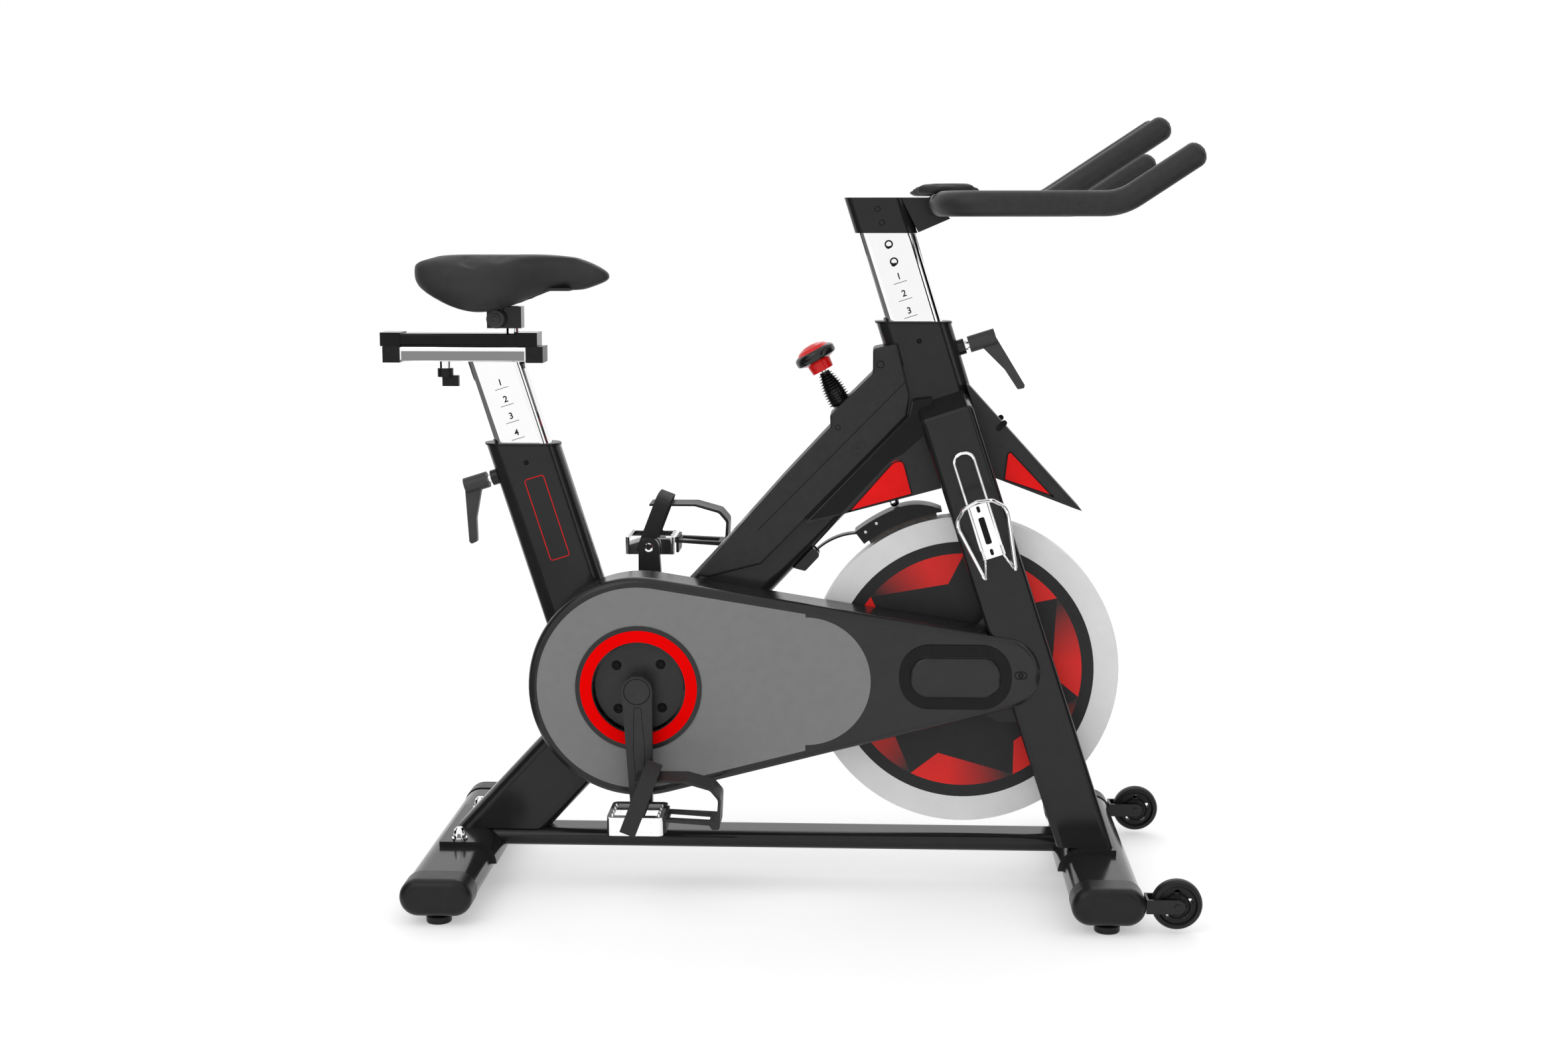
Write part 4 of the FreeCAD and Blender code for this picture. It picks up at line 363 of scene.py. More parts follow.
def bikeFinish(name, look):
    material = bpy.data.materials.new(name)
    material.use_nodes = True
    tree = material.node_tree
    shader = tree.nodes["Principled BSDF"]
    coords = tree.nodes.new("ShaderNodeTexCoord")
    vector = coords.outputs["UV" if look.get("unwrapped") else "Object"]
    texture = tree.nodes.new("ShaderNodeGroup")
    texture.node_tree = effects[look["texture"]]
    tree.links.new(vector, texture.inputs["Vector"])
    if "scale" in look:
        texture.inputs["Scale"].default_value = look["scale"]
    if "stretch" in look:
        texture.inputs["Stretch"].default_value = look["stretch"]
    bump = tree.nodes.new("ShaderNodeBump")
    bump.inputs["Distance"].default_value = look["depth"] * mm
    bump.inputs["Strength"].default_value = 1.0
    tree.links.new(texture.outputs["Height"], bump.inputs["Height"])
    tree.links.new(bump.outputs["Normal"], shader.inputs["Normal"])

    tone = texture.outputs["Tone"] if "Tone" in texture.outputs else texture.outputs["Height"]
    blend = tree.nodes.new("ShaderNodeMix")
    blend.data_type = "RGBA"
    blend.inputs["A"].default_value = look["colour"] + (1,)
    blend.inputs["B"].default_value = look["shade"] + (1,)
    tree.links.new(tone, blend.inputs["Factor"])
    colour = blend.outputs["Result"]
    if look["dust"]:
        dust = tree.nodes.new("ShaderNodeGroup")
        dust.node_tree = effects["dust"]
        tree.links.new(coords.outputs["Object"], dust.inputs["Vector"])
        pale = tree.nodes.new("ShaderNodeMix")
        pale.data_type = "RGBA"
        pale.inputs["B"].default_value = (0.3, 0.29, 0.27, 1)
        tree.links.new(math2(tree, "MULTIPLY", dust.outputs["Mask"], look["dust"]), pale.inputs["Factor"])
        tree.links.new(colour, pale.inputs["A"])
        colour = pale.outputs["Result"]
    tree.links.new(colour, shader.inputs["Base Color"])

    handling = tree.nodes.new("ShaderNodeGroup")
    handling.node_tree = effects["handling"]
    tree.links.new(coords.outputs["Object"], handling.inputs["Vector"])
    gloss = tree.nodes.new("ShaderNodeMapRange")
    gloss.inputs["To Min"].default_value = look["rough"]
    gloss.inputs["To Max"].default_value = min(1.0, look["rough"] * 1.35)
    tree.links.new(handling.outputs["Mask"], gloss.inputs["Value"])
    tree.links.new(gloss.outputs["Result"], shader.inputs["Roughness"])
    shader.inputs["Metallic"].default_value = look.get("metal", 0)
    shader.inputs["Coat Weight"].default_value = look.get("coat", 0)
    shader.inputs["Coat Roughness"].default_value = 0.12
    shader.inputs["Specular IOR Level"].default_value = look.get("specular", 0.5)
    return material


# nodes whose visible skin differs from their slot's usual finish
nodeFinish = {"brake_arm": "black_plastic", "saddle_frame": "shroud_plastic", "crank_axle": "crank_steel",
              "right_pedal": "chrome", "left_pedal": "chrome", "seat_carriage": "gloss_black",
              "right_toe_cage": "cage_strap", "left_toe_cage": "cage_strap", "seat_lever": "lever_grey",
              "head_lever": "lever_grey"}
materials = {name: bikeFinish(name, look) for name, look in finishes.items()}
for node, obj in frame["nodes"].items():
    for entry in obj.material_slots:
        entry.material = materials[nodeFinish.get(node, entry.material.name.split(".")[0])]
print("finishes on", len(frame["nodes"]), "nodes")


# tools shared by the small pieces

def addPiece(bm, name, body, slot, finish=None, smooth=35):
    bmesh.ops.recalc_face_normals(bm, faces=bm.faces)
    mesh = bpy.data.meshes.new(name)
    bm.to_mesh(mesh)
    bm.free()
    for face in mesh.polygons:
        face.use_smooth = True
    mesh.set_sharp_from_angle(angle=math.radians(smooth))
    mesh.materials.append(finish or materials[slot])
    piece = bpy.data.objects.new(name, mesh)
    scene.collection.objects.link(piece)
    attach(piece, body)
    return piece


def facing(place, normal, up=(0, 0, 1)):
    # place and turn a shape drawn flat in X and Y, so that its own Z looks along the normal
    out = Vector(normal).normalized()
    side = Vector(up).cross(out)
    side = side.normalized() if side.length > 1e-6 else Vector((1, 0, 0))
    top = out.cross(side)
    turn = Matrix((side, top, out)).transposed().to_4x4()
    return Matrix.Translation(place) @ turn


def join(bm, part, place):
    # put a small shape into a piece at its place
    bmesh.ops.recalc_face_normals(part, faces=part.faces)
    mesh = bpy.data.meshes.new("part")
    part.to_mesh(mesh)
    part.free()
    mesh.transform(place)
    bm.from_mesh(mesh)
    bpy.data.meshes.remove(mesh)


def addSpun(bm, profile, place, steps=32):
    # profile: (radius, height) pairs, turned round the shape's own Z
    part = bmesh.new()
    verts = [part.verts.new((radius, 0, height)) for radius, height in profile]
    edges = [part.edges.new(pair) for pair in zip(verts, verts[1:])]
    bmesh.ops.spin(part, geom=verts + edges, axis=(0, 0, 1), cent=(0, 0, 0), steps=steps,
                   angle=math.tau, use_merge=True)
    bmesh.ops.remove_doubles(part, verts=part.verts, dist=1e-6)
    join(bm, part, place)


def plate(corners, round, segments):
    # round is one radius for all corners, or a list with one for each
    part = bmesh.new()
    verts = [part.verts.new((x, y, 0)) for x, y in corners]
    part.faces.new(verts)
    sizes = round if isinstance(round, list) else [round] * len(verts)
    for vert, size in zip(verts, sizes):
        if size:
            bmesh.ops.bevel(part, geom=[vert], offset=size, offset_type="OFFSET", segments=segments,
                            profile=0.5, affect="VERTICES", material=-1)
    return part


def raiseFaces(part, height):
    raised = bmesh.ops.extrude_face_region(part, geom=part.faces[:])
    moved = [g for g in raised["geom"] if isinstance(g, bmesh.types.BMVert)]
    bmesh.ops.translate(part, verts=moved, vec=(0, 0, height))


def addOutline(bm, corners, place, height, round=0.0, segments=6):
    # a flat plate with rounded corners, drawn in X and Y and raised by its height
    part = plate(corners, round, segments)
    raiseFaces(part, height)
    join(bm, part, place)


def addRing(bm, corners, place, line, height, round=0.0, segments=8):
    # a drawn line that runs round an outline
    part = plate(corners, round, segments)
    middle = part.faces[:]
    bmesh.ops.inset_region(part, faces=middle, thickness=line, use_even_offset=True, use_boundary=True)
    bmesh.ops.delete(part, geom=middle, context="FACES_ONLY")
    raiseFaces(part, height)
    join(bm, part, place)


def box4(width, height):
    return [(-width / 2, -height / 2), (width / 2, -height / 2), (width / 2, height / 2), (-width / 2, height / 2)]


def midOf(node):
    low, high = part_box(node)
    return (low + high) / 2


# flywheel print

wheelPrint = {"disc": 0.763, "ring": 0.84, "inner": 0.75, "tips": 7, "firstTip": 90, "sweep": 10,
              "proud": 0.3, "bright": (0.86, 0.004, 0.0), "dark": (0.02, 0.006, 0.006)}


def redSweepFinish(centre):
    # printed red that fades round each point of the star
    material = bpy.data.materials.new("redSweep")
    material.use_nodes = True
    tree = material.node_tree
    shader = tree.nodes["Principled BSDF"]
    coords = tree.nodes.new("ShaderNodeTexCoord")
    middle = tree.nodes.new("ShaderNodeMapping")
    middle.vector_type = "POINT"
    middle.inputs["Location"].default_value = (-centre.x, 0, -centre.z)
    tree.links.new(coords.outputs["Object"], middle.inputs["Vector"])
    upright = tree.nodes.new("ShaderNodeMapping")
    upright.inputs["Rotation"].default_value = (math.radians(-90), 0, 0)
    tree.links.new(middle.outputs[0], upright.inputs["Vector"])
    sweep = tree.nodes.new("ShaderNodeTexGradient")
    sweep.gradient_type = "RADIAL"
    tree.links.new(upright.outputs[0], sweep.inputs["Vector"])
    turns = math2(tree, "MULTIPLY", sweep.outputs["Fac"], wheelPrint["tips"])
    # the gradient starts half a turn round, at the rear
    shift = (wheelPrint["firstTip"] / 360 + 0.5) * wheelPrint["tips"]
    part = math2(tree, "FRACT", math2(tree, "ADD", math2(tree, "SUBTRACT", turns, shift), 20), 0)
    ramp = tree.nodes.new("ShaderNodeValToRGB")
    ramp.color_ramp.elements[0].color = wheelPrint["bright"] + (1,)
    ramp.color_ramp.elements[0].position = 0.35
    ramp.color_ramp.elements[1].color = wheelPrint["dark"] + (1,)
    ramp.color_ramp.elements[1].position = 0.95
    tree.links.new(part, ramp.inputs["Fac"])
    tree.links.new(ramp.outputs["Color"], shader.inputs["Base Color"])
    fleck = noise(tree, coords.outputs["Object"], 900, 3.0)
    tree.links.new(ramped(tree, fleck, -1.2, 2.4), shader.inputs["Roughness"])
    bump = tree.nodes.new("ShaderNodeBump")
    bump.inputs["Distance"].default_value = 0.01 * mm
    tree.links.new(fleck, bump.inputs["Height"])
    tree.links.new(bump.outputs["Normal"], shader.inputs["Normal"])
    return material


def makeWheelPrint():
    low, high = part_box("flywheel")
    centre = (low + high) / 2
    outer = (high.x - low.x) / 2
    disc, ring = outer * wheelPrint["disc"], outer * wheelPrint["ring"]
    step = math.tau / wheelPrint["tips"]
    bm = bmesh.new()
    edge = []
    slices = 16
    for tip in range(wheelPrint["tips"]):
        start = math.radians(wheelPrint["firstTip"]) + tip * step
        for part in range(slices):
            angle = start + step * part / slices
            edge.append(bm.verts.new((disc * math.cos(angle), 0, disc * math.sin(angle))))
    inner = []
    for tip in range(wheelPrint["tips"]):
        angle = math.radians(wheelPrint["firstTip"] + wheelPrint["sweep"]) + tip * step
        reach = disc * wheelPrint["inner"]
        inner.append(bm.verts.new((reach * math.cos(angle), 0, reach * math.sin(angle))))
    count = len(edge)
    star = []
    for tip in range(wheelPrint["tips"]):
        arc = [edge[(tip * slices + part) % count] for part in range(slices + 1)]
        red = bm.faces.new(arc + [inner[tip]])
        red.material_index = 1
        star += [arc[0], inner[tip]]
    bm.faces.new(star)
    rim = [e for e in bm.edges if e.is_boundary]
    spread = bmesh.ops.extrude_edge_only(bm, edges=rim)
    moved = [g for g in spread["geom"] if isinstance(g, bmesh.types.BMVert)]
    for face in (g for g in spread["geom"] if isinstance(g, bmesh.types.BMFace)):
        face.material_index = 0
    bmesh.ops.scale(bm, verts=moved, vec=(ring / disc, 1, ring / disc))
    bmesh.ops.translate(bm, verts=bm.verts, vec=(centre.x, low.y - wheelPrint["proud"] * mm, centre.z))
    copy = bmesh.ops.duplicate(bm, geom=bm.verts[:] + bm.edges[:] + bm.faces[:])
    far = [g for g in copy["geom"] if isinstance(g, bmesh.types.BMVert)]
    bmesh.ops.translate(bm, verts=far, vec=(0, high.y - low.y + 2 * wheelPrint["proud"] * mm, 0))
    bmesh.ops.triangulate(bm, faces=bm.faces)
    for face in bm.faces:
        face.normal_update()
        if face.normal.y * (face.calc_center_median().y - centre.y) < 0:
            face.normal_flip()
    mesh = bpy.data.meshes.new("flywheelPrint")
    bm.to_mesh(mesh)
    bm.free()
    mesh.materials.append(materials["flywheel_print"])
    mesh.materials.append(redSweepFinish(centre))
    piece = bpy.data.objects.new("flywheelPrint", mesh)
    scene.collection.objects.link(piece)
    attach(piece, "flywheel")


makeWheelPrint()
print("flywheel print on both faces")


# saddle and forearm pads

padding = {"saddleVoxel": 5.0, "saddleShrink": 1.2, "saddlePressure": 4.0, "saddleCap": 5.0, "frames": 20,
           "armVoxel": 4.0, "armShrink": 0.8, "armCap": 2.0}


def nodeCopy(node, name):
    mesh = frame["nodes"][node].data.copy()
    bm = bmesh.new()
    bm.from_mesh(mesh)
    bmesh.ops.remove_doubles(bm, verts=bm.verts, dist=1e-5)
    bmesh.ops.recalc_face_normals(bm, faces=bm.faces)
    bm.to_mesh(mesh)
    bm.free()
    mesh.materials.clear()
    piece = bpy.data.objects.new(name, mesh)
    scene.collection.objects.link(piece)
    return piece


def applyAll(piece):
    depth = bpy.context.evaluated_depsgraph_get()
    made = bpy.data.meshes.new_from_object(piece.evaluated_get(depth))
    piece.modifiers.clear()
    old = piece.data
    piece.data = made
    bpy.data.meshes.remove(old)


def inflate(piece, voxel, shrink, cap):
    remesh = piece.modifiers.new("even", "REMESH")
    remesh.mode = "VOXEL"
    remesh.voxel_size = voxel * mm
    applyAll(piece)
    bm = bmesh.new()
    bm.from_mesh(piece.data)
    bmesh.ops.smooth_vert(bm, verts=bm.verts, factor=0.5, use_axis_x=True, use_axis_y=True, use_axis_z=True)
    bm.normal_update()
    for vert in bm.verts:
        vert.co -= vert.normal * shrink * mm
    bm.to_mesh(piece.data)
    bm.free()
    before = [v.co.copy() for v in piece.data.vertices]
    cloth = piece.modifiers.new("foam", "CLOTH")
    cloth.settings.use_pressure = True
    cloth.settings.uniform_pressure_force = padding["saddlePressure"]
    cloth.settings.effector_weights.gravity = 0
    for step in range(1, padding["frames"] + 1):
        scene.frame_set(step)
    depth = bpy.context.evaluated_depsgraph_get()
    after = [v.co.copy() for v in piece.evaluated_get(depth).data.vertices]
    piece.modifiers.clear()
    scene.frame_set(1)
    for vert, start, end in zip(piece.data.vertices, before, after):
        move = end - start
        vert.co = start + move * min(1.0, cap * mm / max(move.length, 1e-9))
    finer = piece.modifiers.new("soft", "SUBSURF")
    finer.levels = finer.render_levels = 1
    applyAll(piece)


def makeSaddle():
    piece = nodeCopy("saddle_cushion", "saddlePad")
    inflate(piece, padding["saddleVoxel"], padding["saddleShrink"], padding["saddleCap"])
    for face in piece.data.polygons:
        face.use_smooth = True
    piece.data.materials.clear()
    piece.data.materials.append(materials["vinyl"])
    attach(piece, "saddle")
    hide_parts("saddle_cushion")


def makeArmPads():
    piece = nodeCopy("forearm_pads", "forearmPadding")
    inflate(piece, padding["armVoxel"], padding["armShrink"], padding["armCap"])
    for face in piece.data.polygons:
        face.use_smooth = True
    piece.data.materials.clear()
    piece.data.materials.append(materials["vinyl"])
    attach(piece, "handlebar")
    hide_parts("forearm_pads")


makeSaddle()
makeArmPads()
print("saddle and forearm pads filled")


# numbers and holes on the two posts

postScale = {"lean": 17.5, "spacing": 24.4, "digitHeight": 9.0, "tickLength": 19.0, "tickWidth": 0.8,
             "digitRise": 8.4, "proud": 0.12, "ringOuter": 5.8, "ringInner": 3.7}
postUp = Vector((-math.sin(math.radians(postScale["lean"])), 0, math.cos(math.radians(postScale["lean"]))))


def inkFinish(name, colour):
    return bikeFinish(name, {"colour": colour, "shade": tuple(c * 1.3 + 0.002 for c in colour), "rough": 0.5,
                             "texture": "grain", "scale": 1500, "depth": 0.01, "specular": 0.15, "dust": 0.0})


materials["greyInk"] = inkFinish("greyInk", (0.02, 0.02, 0.022))
materials["redInk"] = inkFinish("redInk", (0.6, 0.01, 0.01))
materials["screwAndShadeBlack"] = inkFinish("screwAndShadeBlack", (0.004, 0.004, 0.004))


def tubeTop(node):
    low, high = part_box(node)
    return Vector((low.x + 0.0504, 0, high.z))


def onPost(tube, along, across, y):
    side = Vector((postUp.z, 0, -postUp.x))
    spot = tubeTop(tube) + postUp * along * mm + side * across * mm
    return Vector((spot.x, y, spot.z))


def addText(bm, words, height, place):
    curve = bpy.data.curves.new("figure", "FONT")
    curve.body = words
    curve.size = height / 0.72
    curve.align_x = "CENTER"
    curve.align_y = "CENTER"
    curve.extrude = 0.00006
    curve.offset = 0.00028
    holder = bpy.data.objects.new("figure", curve)
    scene.collection.objects.link(holder)
    flat = bpy.data.meshes.new_from_object(holder.evaluated_get(bpy.context.evaluated_depsgraph_get()))
    flat.transform(place)
    bm.from_mesh(flat)
    bpy.data.objects.remove(holder)
    bpy.data.curves.remove(curve)
    bpy.data.meshes.remove(flat)


def makePostScale(post, tube, count, body):
    bm = bmesh.new()
    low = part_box(post)[0]
    y = low.y - postScale["proud"] * mm
    if post == "seat_post":
        y = -0.019 - postScale["proud"] * mm
    for number in range(count):
        along = 10.2 + postScale["spacing"] * (count - 1 - number)
        place = facing(onPost(tube, along, -0.4, y), (0, -1, 0), postUp)
        addOutline(bm, box4(postScale["tickLength"] * mm, postScale["tickWidth"] * mm), place, 0.0001)
        place = facing(onPost(tube, along + postScale["digitRise"], 0.0, y), (0, -1, 0), postUp)
        addText(bm, str(number + 1), postScale["digitHeight"] * mm, place)
    addPiece(bm, post + "Numbers", body, "chrome", materials["greyInk"])


def makePostHoles():
    # painted shade: a black rim round each hole stands in for the shading at the hole's edge
    bm = bmesh.new()
    outer, inner = postScale["ringOuter"] * mm, postScale["ringInner"] * mm
    for along in (113.3, 88.7):
        for y, normal in ((-0.019, (0, -1, 0)), (0.019, (0, 1, 0))):
            place = facing(onPost("head_tube", along, -0.3, y), normal, postUp)
            addSpun(bm, [(inner, -0.001), (inner, 0.0006), (outer * 0.9, 0.0006), (outer, 0.0003), (outer, 0)], place)
    addPiece(bm, "postHolePaintedShade", "handlebar", "black_plastic", materials["screwAndShadeBlack"])


makePostScale("seat_post", "seat_tube", 4, "seat_post")
makePostScale("handlebar_post", "head_tube", 3, "handlebar")
makePostHoles()
print("post scales drawn")


# screws, rivets, covers

def socketProfile(radius, height):
    return [(0, -height * 0.5), (radius * 0.45, -height * 0.5), (radius * 0.5, height * 0.85),
            (radius * 0.85, height), (radius, height * 0.7), (radius, -height * 0.3)]


def coverProfile(radius, height):
    return [(0, height * 0.6), (radius * 0.78, height * 0.6), (radius * 0.84, 0.0), (radius * 0.9, 0.0),
            (radius * 0.94, height), (radius, height * 0.8), (radius * 1.04, -height * 0.2)]


def makeTubeRivets():
    bm = bmesh.new()
    for tube in ("seat_tube", "head_tube"):
        low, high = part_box(tube)
        for y, normal in ((low.y, (0, -1, 0)), (high.y, (0, 1, 0))):
            addSpun(bm, coverProfile(0.0034, 0.0005), facing(onPost(tube, -24.8, 0.8, y), normal))
    addPiece(bm, "tubeRivets", "frame", "frame_paint", materials["screwAndShadeBlack"])
    bm = bmesh.new()
    low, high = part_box("head_block")
    for across, drop in ((-17.8, 15.4), (-11.6, 33.8)):
        for y, normal in ((low.y, (0, -1, 0)), (high.y, (0, 1, 0))):
            spot = Vector((low.x + 0.0455 + (drop - 15.4) * mm * 0.33, y, high.z - drop * mm))
            addSpun(bm, coverProfile(0.004, 0.0005), facing(spot, normal))
    addPiece(bm, "headBlockRivets", "handlebar", "frame_paint")


def makeLabelFrame():
    bm = bmesh.new()
    low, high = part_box("seat_tube")
    place = facing(onPost("seat_tube", -106.9, 4.2, low.y - 0.0001), (0, -1, 0), postUp)
    addRing(bm, box4(0.029, 0.12), place, 0.0013, 0.0002, round=0.0045)
    addPiece(bm, "seatTubePanelLine", "frame", "ring_red", materials["redInk"])


shroudTrim = {"covers": [((133.3, 735.1), 5.5), ((75.4, 648.3), 3.8)], "oval": (103.0, 619.6), "ovalSize": (24.0, 13.6),
              "seamStart": (-35.2, 504.2), "seamEnd": (168.0, 712.0), "seamWidth": 1.1, "slope": 47.2}


def makeShroudTrim():
    rise = math.radians(shroudTrim["slope"])
    along = Vector((math.cos(rise), 0, math.sin(rise)))
    for side, name in ((-1, "right"), (1, "left")):
        y = side * 0.036
        normal = (0, side, 0)
        bm = bmesh.new()
        for (x, z), radius in shroudTrim["covers"]:
            addSpun(bm, coverProfile(radius * mm, 0.0007), facing(Vector((x * mm, y, z * mm)), normal))
        x, z = shroudTrim["oval"]
        length, width = shroudTrim["ovalSize"]
        place = facing(Vector((x * mm, y, z * mm)), normal, along)
        addRing(bm, box4(width * mm, length * mm), place, 0.0012, 0.0005, round=width * mm * 0.495)
        addSpun(bm, [(0, 0.0001), (0.0013, 0.0001), (0.0016, 0.0004), (0.0019, 0)],
                facing(Vector((x * mm, y, z * mm)), normal))
        addPiece(bm, name + "ShroudCovers", "frame", "shroud_plastic")
        bm = bmesh.new()
        start = Vector((shroudTrim["seamStart"][0] * mm, y, shroudTrim["seamStart"][1] * mm))
        end = Vector((shroudTrim["seamEnd"][0] * mm, y, shroudTrim["seamEnd"][1] * mm))
        place = facing((start + end) / 2, normal, end - start)
        addOutline(bm, box4(shroudTrim["seamWidth"] * mm, (end - start).length), place, 0.00015)
        addPiece(bm, name + "ShroudSeam", "frame", "shroud_plastic", materials["screwAndShadeBlack"])


guardBoss = {"place": (238.5, 311.0), "size": (124.0, 55.0), "corner": 25.0, "proud": 3.2, "edge": 4.0,
             "groove": (154.0, 90.0), "grooveCorner": 42.0, "grooveWidth": 16.0}


def makeGuardBoss():
    # smooth pillow in the middle of the guard's nose, standing out of its moulded groove, with painted shade in the
    # groove round it
    x, z = guardBoss["place"]
    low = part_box("guard_outer_cover")[0]
    part = plate(box4(guardBoss["size"][0] * mm, guardBoss["size"][1] * mm), guardBoss["corner"] * mm, 12)
    raiseFaces(part, (guardBoss["proud"] + 1) * mm)
    top = max(vert.co.z for vert in part.verts)
    rim = [edge for edge in part.edges if all(vert.co.z > top - 1e-6 for vert in edge.verts)]
    bmesh.ops.bevel(part, geom=rim, offset=guardBoss["edge"] * mm, offset_type="OFFSET", segments=5, profile=0.5,
                    affect="EDGES", material=-1)
    bm = bmesh.new()
    join(bm, part, facing(Vector((x * mm, low.y + 0.001, z * mm)), (0, -1, 0)))
    addPiece(bm, "guardBoss", "frame", "guard_plastic")
    # painted shade: a glossy black ring on the groove floor darkens the recess round the pillow
    bm = bmesh.new()
    size = [length * mm for length in guardBoss["groove"]]
    addRing(bm, box4(*size), facing(Vector((x * mm, low.y + 0.0021, z * mm)), (0, -1, 0)),
            guardBoss["grooveWidth"] * mm, 0.0003, round=guardBoss["grooveCorner"] * mm, segments=12)
    addPiece(bm, "guardGroovePaintedShade", "frame", "guard_plastic", materials["gloss_black"])


def makeGuardScrew():
    bm = bmesh.new()
    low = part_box("guard_outer_cover")[0]
    place = facing(Vector((0.3277, low.y + 0.002, 0.3146)), (0, -1, 0))
    addRing(bm, box4(0.017, 0.011), place, 0.0012, 0.0008, round=0.0054)
    addSpun(bm, socketProfile(0.0034, 0.0012), place)
    addPiece(bm, "guardScrew", "frame", "guard_plastic", materials["screwAndShadeBlack"])


def makeFenderSlots():
    bm = bmesh.new()
    low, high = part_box("fender")
    for y, side in ((low.y, -1), (high.y, 1)):
        place = facing(Vector((0.2994, y, 0.6522)), (0, side, 0), (1, 0, 1))
        addOutline(bm, box4(0.008, 0.018), place, 0.0003, round=0.0039)
    addPiece(bm, "fenderSlots", "frame", "shroud_plastic", materials["screwAndShadeBlack"])


fenderTrim = {"left": [(90, 531.5), (153, 603.5), (166, 603.5), (178.5, 556.5)], "leftRound": [0.4, 8, 8, 0.4],
              "right": [(303.5, 577.5), (308, 617), (313.5, 616), (372, 554.5)], "rightRound": [0.4, 5, 5, 0.4],
              "shade": [(37, 519.5), (80.3, 529.5), (149.2, 604.4), (165.9, 613.0), (201, 645.8), (205, 690),
                        (180, 687), (174.5, 665)], "line": 1.5}


def makeFenderTrim():
    # dark seal round each red insert, and a glossy black band below the shroud's edge that is painted shade and painted
    # reflection
    low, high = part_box("fender")
    seals, bands = bmesh.new(), bmesh.new()
    for y, side in ((low.y, -1), (high.y, 1)):
        place = facing(Vector((0, y + side * 0.0007, 0)), (0, side, 0))
        for word in ("left", "right"):
            corners = [(x * mm * -side, z * mm) for x, z in fenderTrim[word]]
            addRing(seals, corners, place, fenderTrim["line"] * mm, 0.0005,
                    round=[size * mm for size in fenderTrim[word + "Round"]])
        # painted shade and painted reflection: a dark glossy sheet where the fender lies in the shroud's shade and
        # reflects dark
        corners = [(x * mm * -side, z * mm) for x, z in fenderTrim["shade"]]
        addOutline(bands, corners, facing(Vector((0, y, 0)), (0, side, 0)), 0.0003)
    addPiece(seals, "fenderSeals", "frame", "shroud_plastic", materials["screwAndShadeBlack"])
    addPiece(bands, "fenderPaintedShade", "frame", "shroud_plastic", materials["gloss_black"])


brakeKnob = {"place": (42.7, 745.6), "lean": 28.5, "below": 24.0, "folds": 12, "pitch": 3.9, "shroudPoint": (65, 649),
             "shroudSlope": 47.1,
             "band": [(24.4, 15.8), (28.0, 17.4), (29.3, 20.2), (29.3, 25.8), (28.0, 28.6), (24.4, 30.8)]}


def knobPlace():
    lean = math.radians(brakeKnob["lean"])
    up = Vector((-math.sin(lean), 0, math.cos(lean)))
    x, z = brakeKnob["place"]
    return facing(Vector((x * mm, 0, z * mm)) - up * brakeKnob["below"] * mm, up, (1, 0, 0))


def makeKnobBand():
    # black grip band between the red cap and the red hub
    bm = bmesh.new()
    profile = [(radius * mm, level * mm) for radius, level in brakeKnob["band"]]
    addSpun(bm, profile + [profile[0]], knobPlace(), 64)
    addPiece(bm, "knobGripBand", "resistance_knob", "knob_plastic", materials["gripBlack"])


def makeBellows():
    # rubber boot with thin folds, cut off where it meets the shroud
    profile = [(4.5, -2.6), (7.4, -2.6), (7.4, -4.9)]
    for fold in range(brakeKnob["folds"]):
        level = -5.4 - brakeKnob["pitch"] * fold
        tip = 9.6 + 7.4 * math.sin(math.pi * min(fold + 1, 9) / 18)
        profile += [(tip - 3.8, level), (tip, level - 1.0), (tip, level - 1.5), (tip - 3.8, level - 2.5)]
    profile += [(12, -53), (4.5, -53), (4.5, -2.6)]
    bm = bmesh.new()
    addSpun(bm, [(radius * mm, level * mm) for radius, level in profile], knobPlace(), 40)
    slope = math.radians(brakeKnob["shroudSlope"])
    x, z = brakeKnob["shroudPoint"]
    cut = bmesh.ops.bisect_plane(bm, geom=bm.verts[:] + bm.edges[:] + bm.faces[:], clear_inner=True,
                                 plane_co=(x * mm, 0, z * mm + 0.0002),
                                 plane_no=(-math.sin(slope), 0, math.cos(slope)))
    bmesh.ops.holes_fill(bm, edges=[g for g in cut["geom_cut"] if isinstance(g, bmesh.types.BMEdge)], sides=0)
    piece = addPiece(bm, "bellowsFolds", "frame", "rubber", materials["gripBlack"], 25)
    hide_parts("bellows")


def makeBrakeRivets():
    bm = bmesh.new()
    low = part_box("brake_arm")[0]
    for x, z in ((129.2, 513.1), (114.2, 500.9)):
        addSpun(bm, [(0, 0.0004), (0.0016, 0.0004), (0.0021, 0.0001), (0.0021, -0.0004)],
                facing(Vector((x * mm, low.y, z * mm)), (0, -1, 0)), 20)
    addPiece(bm, "brakeRivets", "brake_arm", "zinc_steel")


cageSlots = {"middle": (276.4, 513.8), "lean": 18.2, "slot": (8.5, 38.0), "eye": (4.6, 9.0), "eyeReach": 30.6}


